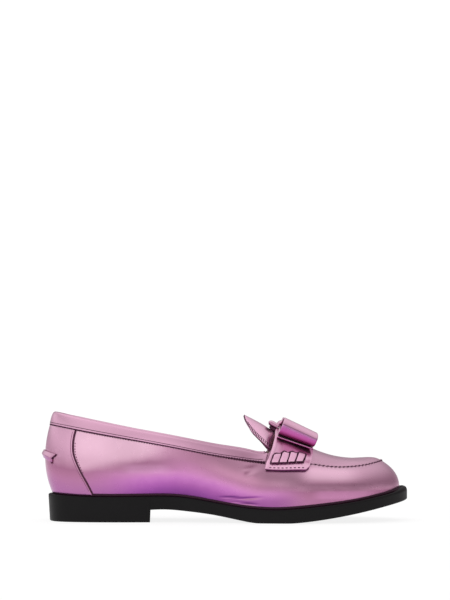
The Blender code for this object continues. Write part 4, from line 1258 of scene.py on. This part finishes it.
apronSeam = {
    "from": 58.6, "line": 0.975, "groove": 0.46, "sink": 0.20, "steps": 400,
    "stitches": {"pitch": 3.0, "length": 2.5, "radius": 0.42, "proud": 0.15, "slant": -0.9},
}


def makeApronSeam():
    start = float(placeAt(-1, 1.0, apronSeam["from"] * mm))
    way = np.linspace(start, 2 * toePlace - start, apronSeam["steps"])
    lift = seamLift(way, apronSeam["line"] + 0 * way)
    row = surfaceRow(way, apronSeam["line"], lift - apronSeam["sink"] * mm)
    # dark line in the groove: painted shade
    edgeLine("apronGroove", row, apronSeam["groove"], edgeDyeAndShade)
    stitchRow("apronStitch", [row], apronSeam["stitches"], darkThread)


makeApronSeam()
print("bow and seams made")


# stage, light and camera

studio = {
    "floorSize": 40.0, "floorGlow": 0.85, "floorNoise": 8.0,
    "floorTones": (rgb(0.20, 0.20, 0.20), rgb(0.22, 0.22, 0.22)),
    "strength": 1.15,
    # light from the toe side and from the heel side, by height: 0 level, 1 overhead
    "toeSide": ((0.00, rgb(0.36, 0.30, 0.33)), (0.12, rgb(0.31, 0.25, 0.28)), (0.28, rgb(0.31, 0.25, 0.28)),
                (0.38, rgb(0.40, 0.34, 0.37)), (0.52, rgb(0.56, 0.53, 0.54)), (0.72, rgb(0.70, 0.70, 0.70)),
                (0.87, rgb(0.75, 0.75, 0.75)), (1.00, rgb(0.83, 0.83, 0.83))),
    "heelSide": ((0.00, rgb(0.45, 0.37, 0.42)), (0.06, rgb(0.47, 0.39, 0.44)), (0.13, rgb(0.62, 0.58, 0.60)),
                 (0.21, rgb(0.97, 1.00, 0.98)), (0.36, rgb(0.97, 1.00, 0.98)), (0.50, rgb(0.68, 0.69, 0.68)),
                 (0.70, rgb(0.72, 0.73, 0.72)), (1.00, rgb(0.90, 0.90, 0.90))),
    "turnOver": (0.14, -0.06), "ends": (0.40, 0.90), "endShade": 0.22,
    "behind": (0.55, 0.90), "wallTop": (0.75, 0.35), "backWall": rgb(0.39, 0.365, 0.38),
    "white": rgb(0.95, 0.945, 0.95),
    "camera": (0.0005, -1.3, 0.078), "lens": 108.0, "shiftY": 0.1867,
}


def makeStage():
    size = studio["floorSize"]
    mesh = bpy.data.meshes.new("studioFloor")
    corners = [(-size, -size, 0), (size, -size, 0), (size, size, 0), (-size, size, 0)]
    mesh.from_pydata(corners, [], [(0, 1, 2, 3)])
    floor = bpy.data.objects.new("studioFloor", mesh)
    bpy.context.scene.collection.objects.link(floor)
    finish, wires, shader = newFinish("paleFloor", {
        "Roughness": 0.9, "Specular IOR Level": 0.1,
        "Emission Strength": studio["floorGlow"], "Emission Color": rgb(1, 1, 1)})
    speckle = noise(wires, objectPlace(wires), studio["floorNoise"])
    feed(shader, Base_Color=speckle.blend(*studio["floorTones"]))
    mesh.materials.append(finish)

    world = bpy.data.worlds.new("studioLight")
    bpy.context.scene.world = world
    world.use_nodes = True
    wires = Wire(world.node_tree)
    way = wires.make("ShaderNodeTexCoord", out="Generated")
    x, y, z = (way.part(axis) for axis in "XYZ")
    toeSide, heelSide = (ramp(wires, studio[key], z) for key in ("toeSide", "heelSide"))
    sides = x.ease(*studio["turnOver"]).blend(toeSide, heelSide)
    ends = wires.make("ShaderNodeMath", {"operation": "ABSOLUTE"}, {0: x}).ease(*studio["ends"])
    sides = (ends * studio["endShade"]).blend(sides, rgb(0, 0, 0))
    room = (y.ease(*studio["behind"]) * z.ease(*studio["wallTop"])).blend(sides, studio["backWall"])
    seen = wires.make("ShaderNodeLightPath", out="Is Camera Ray")  # the backdrop itself is plain white
    background = world.node_tree.nodes["Background"]
    background.inputs["Strength"].default_value = studio["strength"]
    world.node_tree.links.new(seen.blend(room, studio["white"]).socket, background.inputs["Color"])

    lens = bpy.data.cameras.new("sideCamera")
    lens.lens, lens.shift_y = studio["lens"], studio["shiftY"]
    camera = bpy.data.objects.new("sideCamera", lens)
    camera.location = studio["camera"]
    camera.rotation_euler = (math.pi / 2, 0, 0)
    bpy.context.scene.collection.objects.link(camera)
    bpy.context.scene.camera = camera
    bpy.context.scene.view_settings.view_transform = "Standard"


makeStage()
print("stage made")
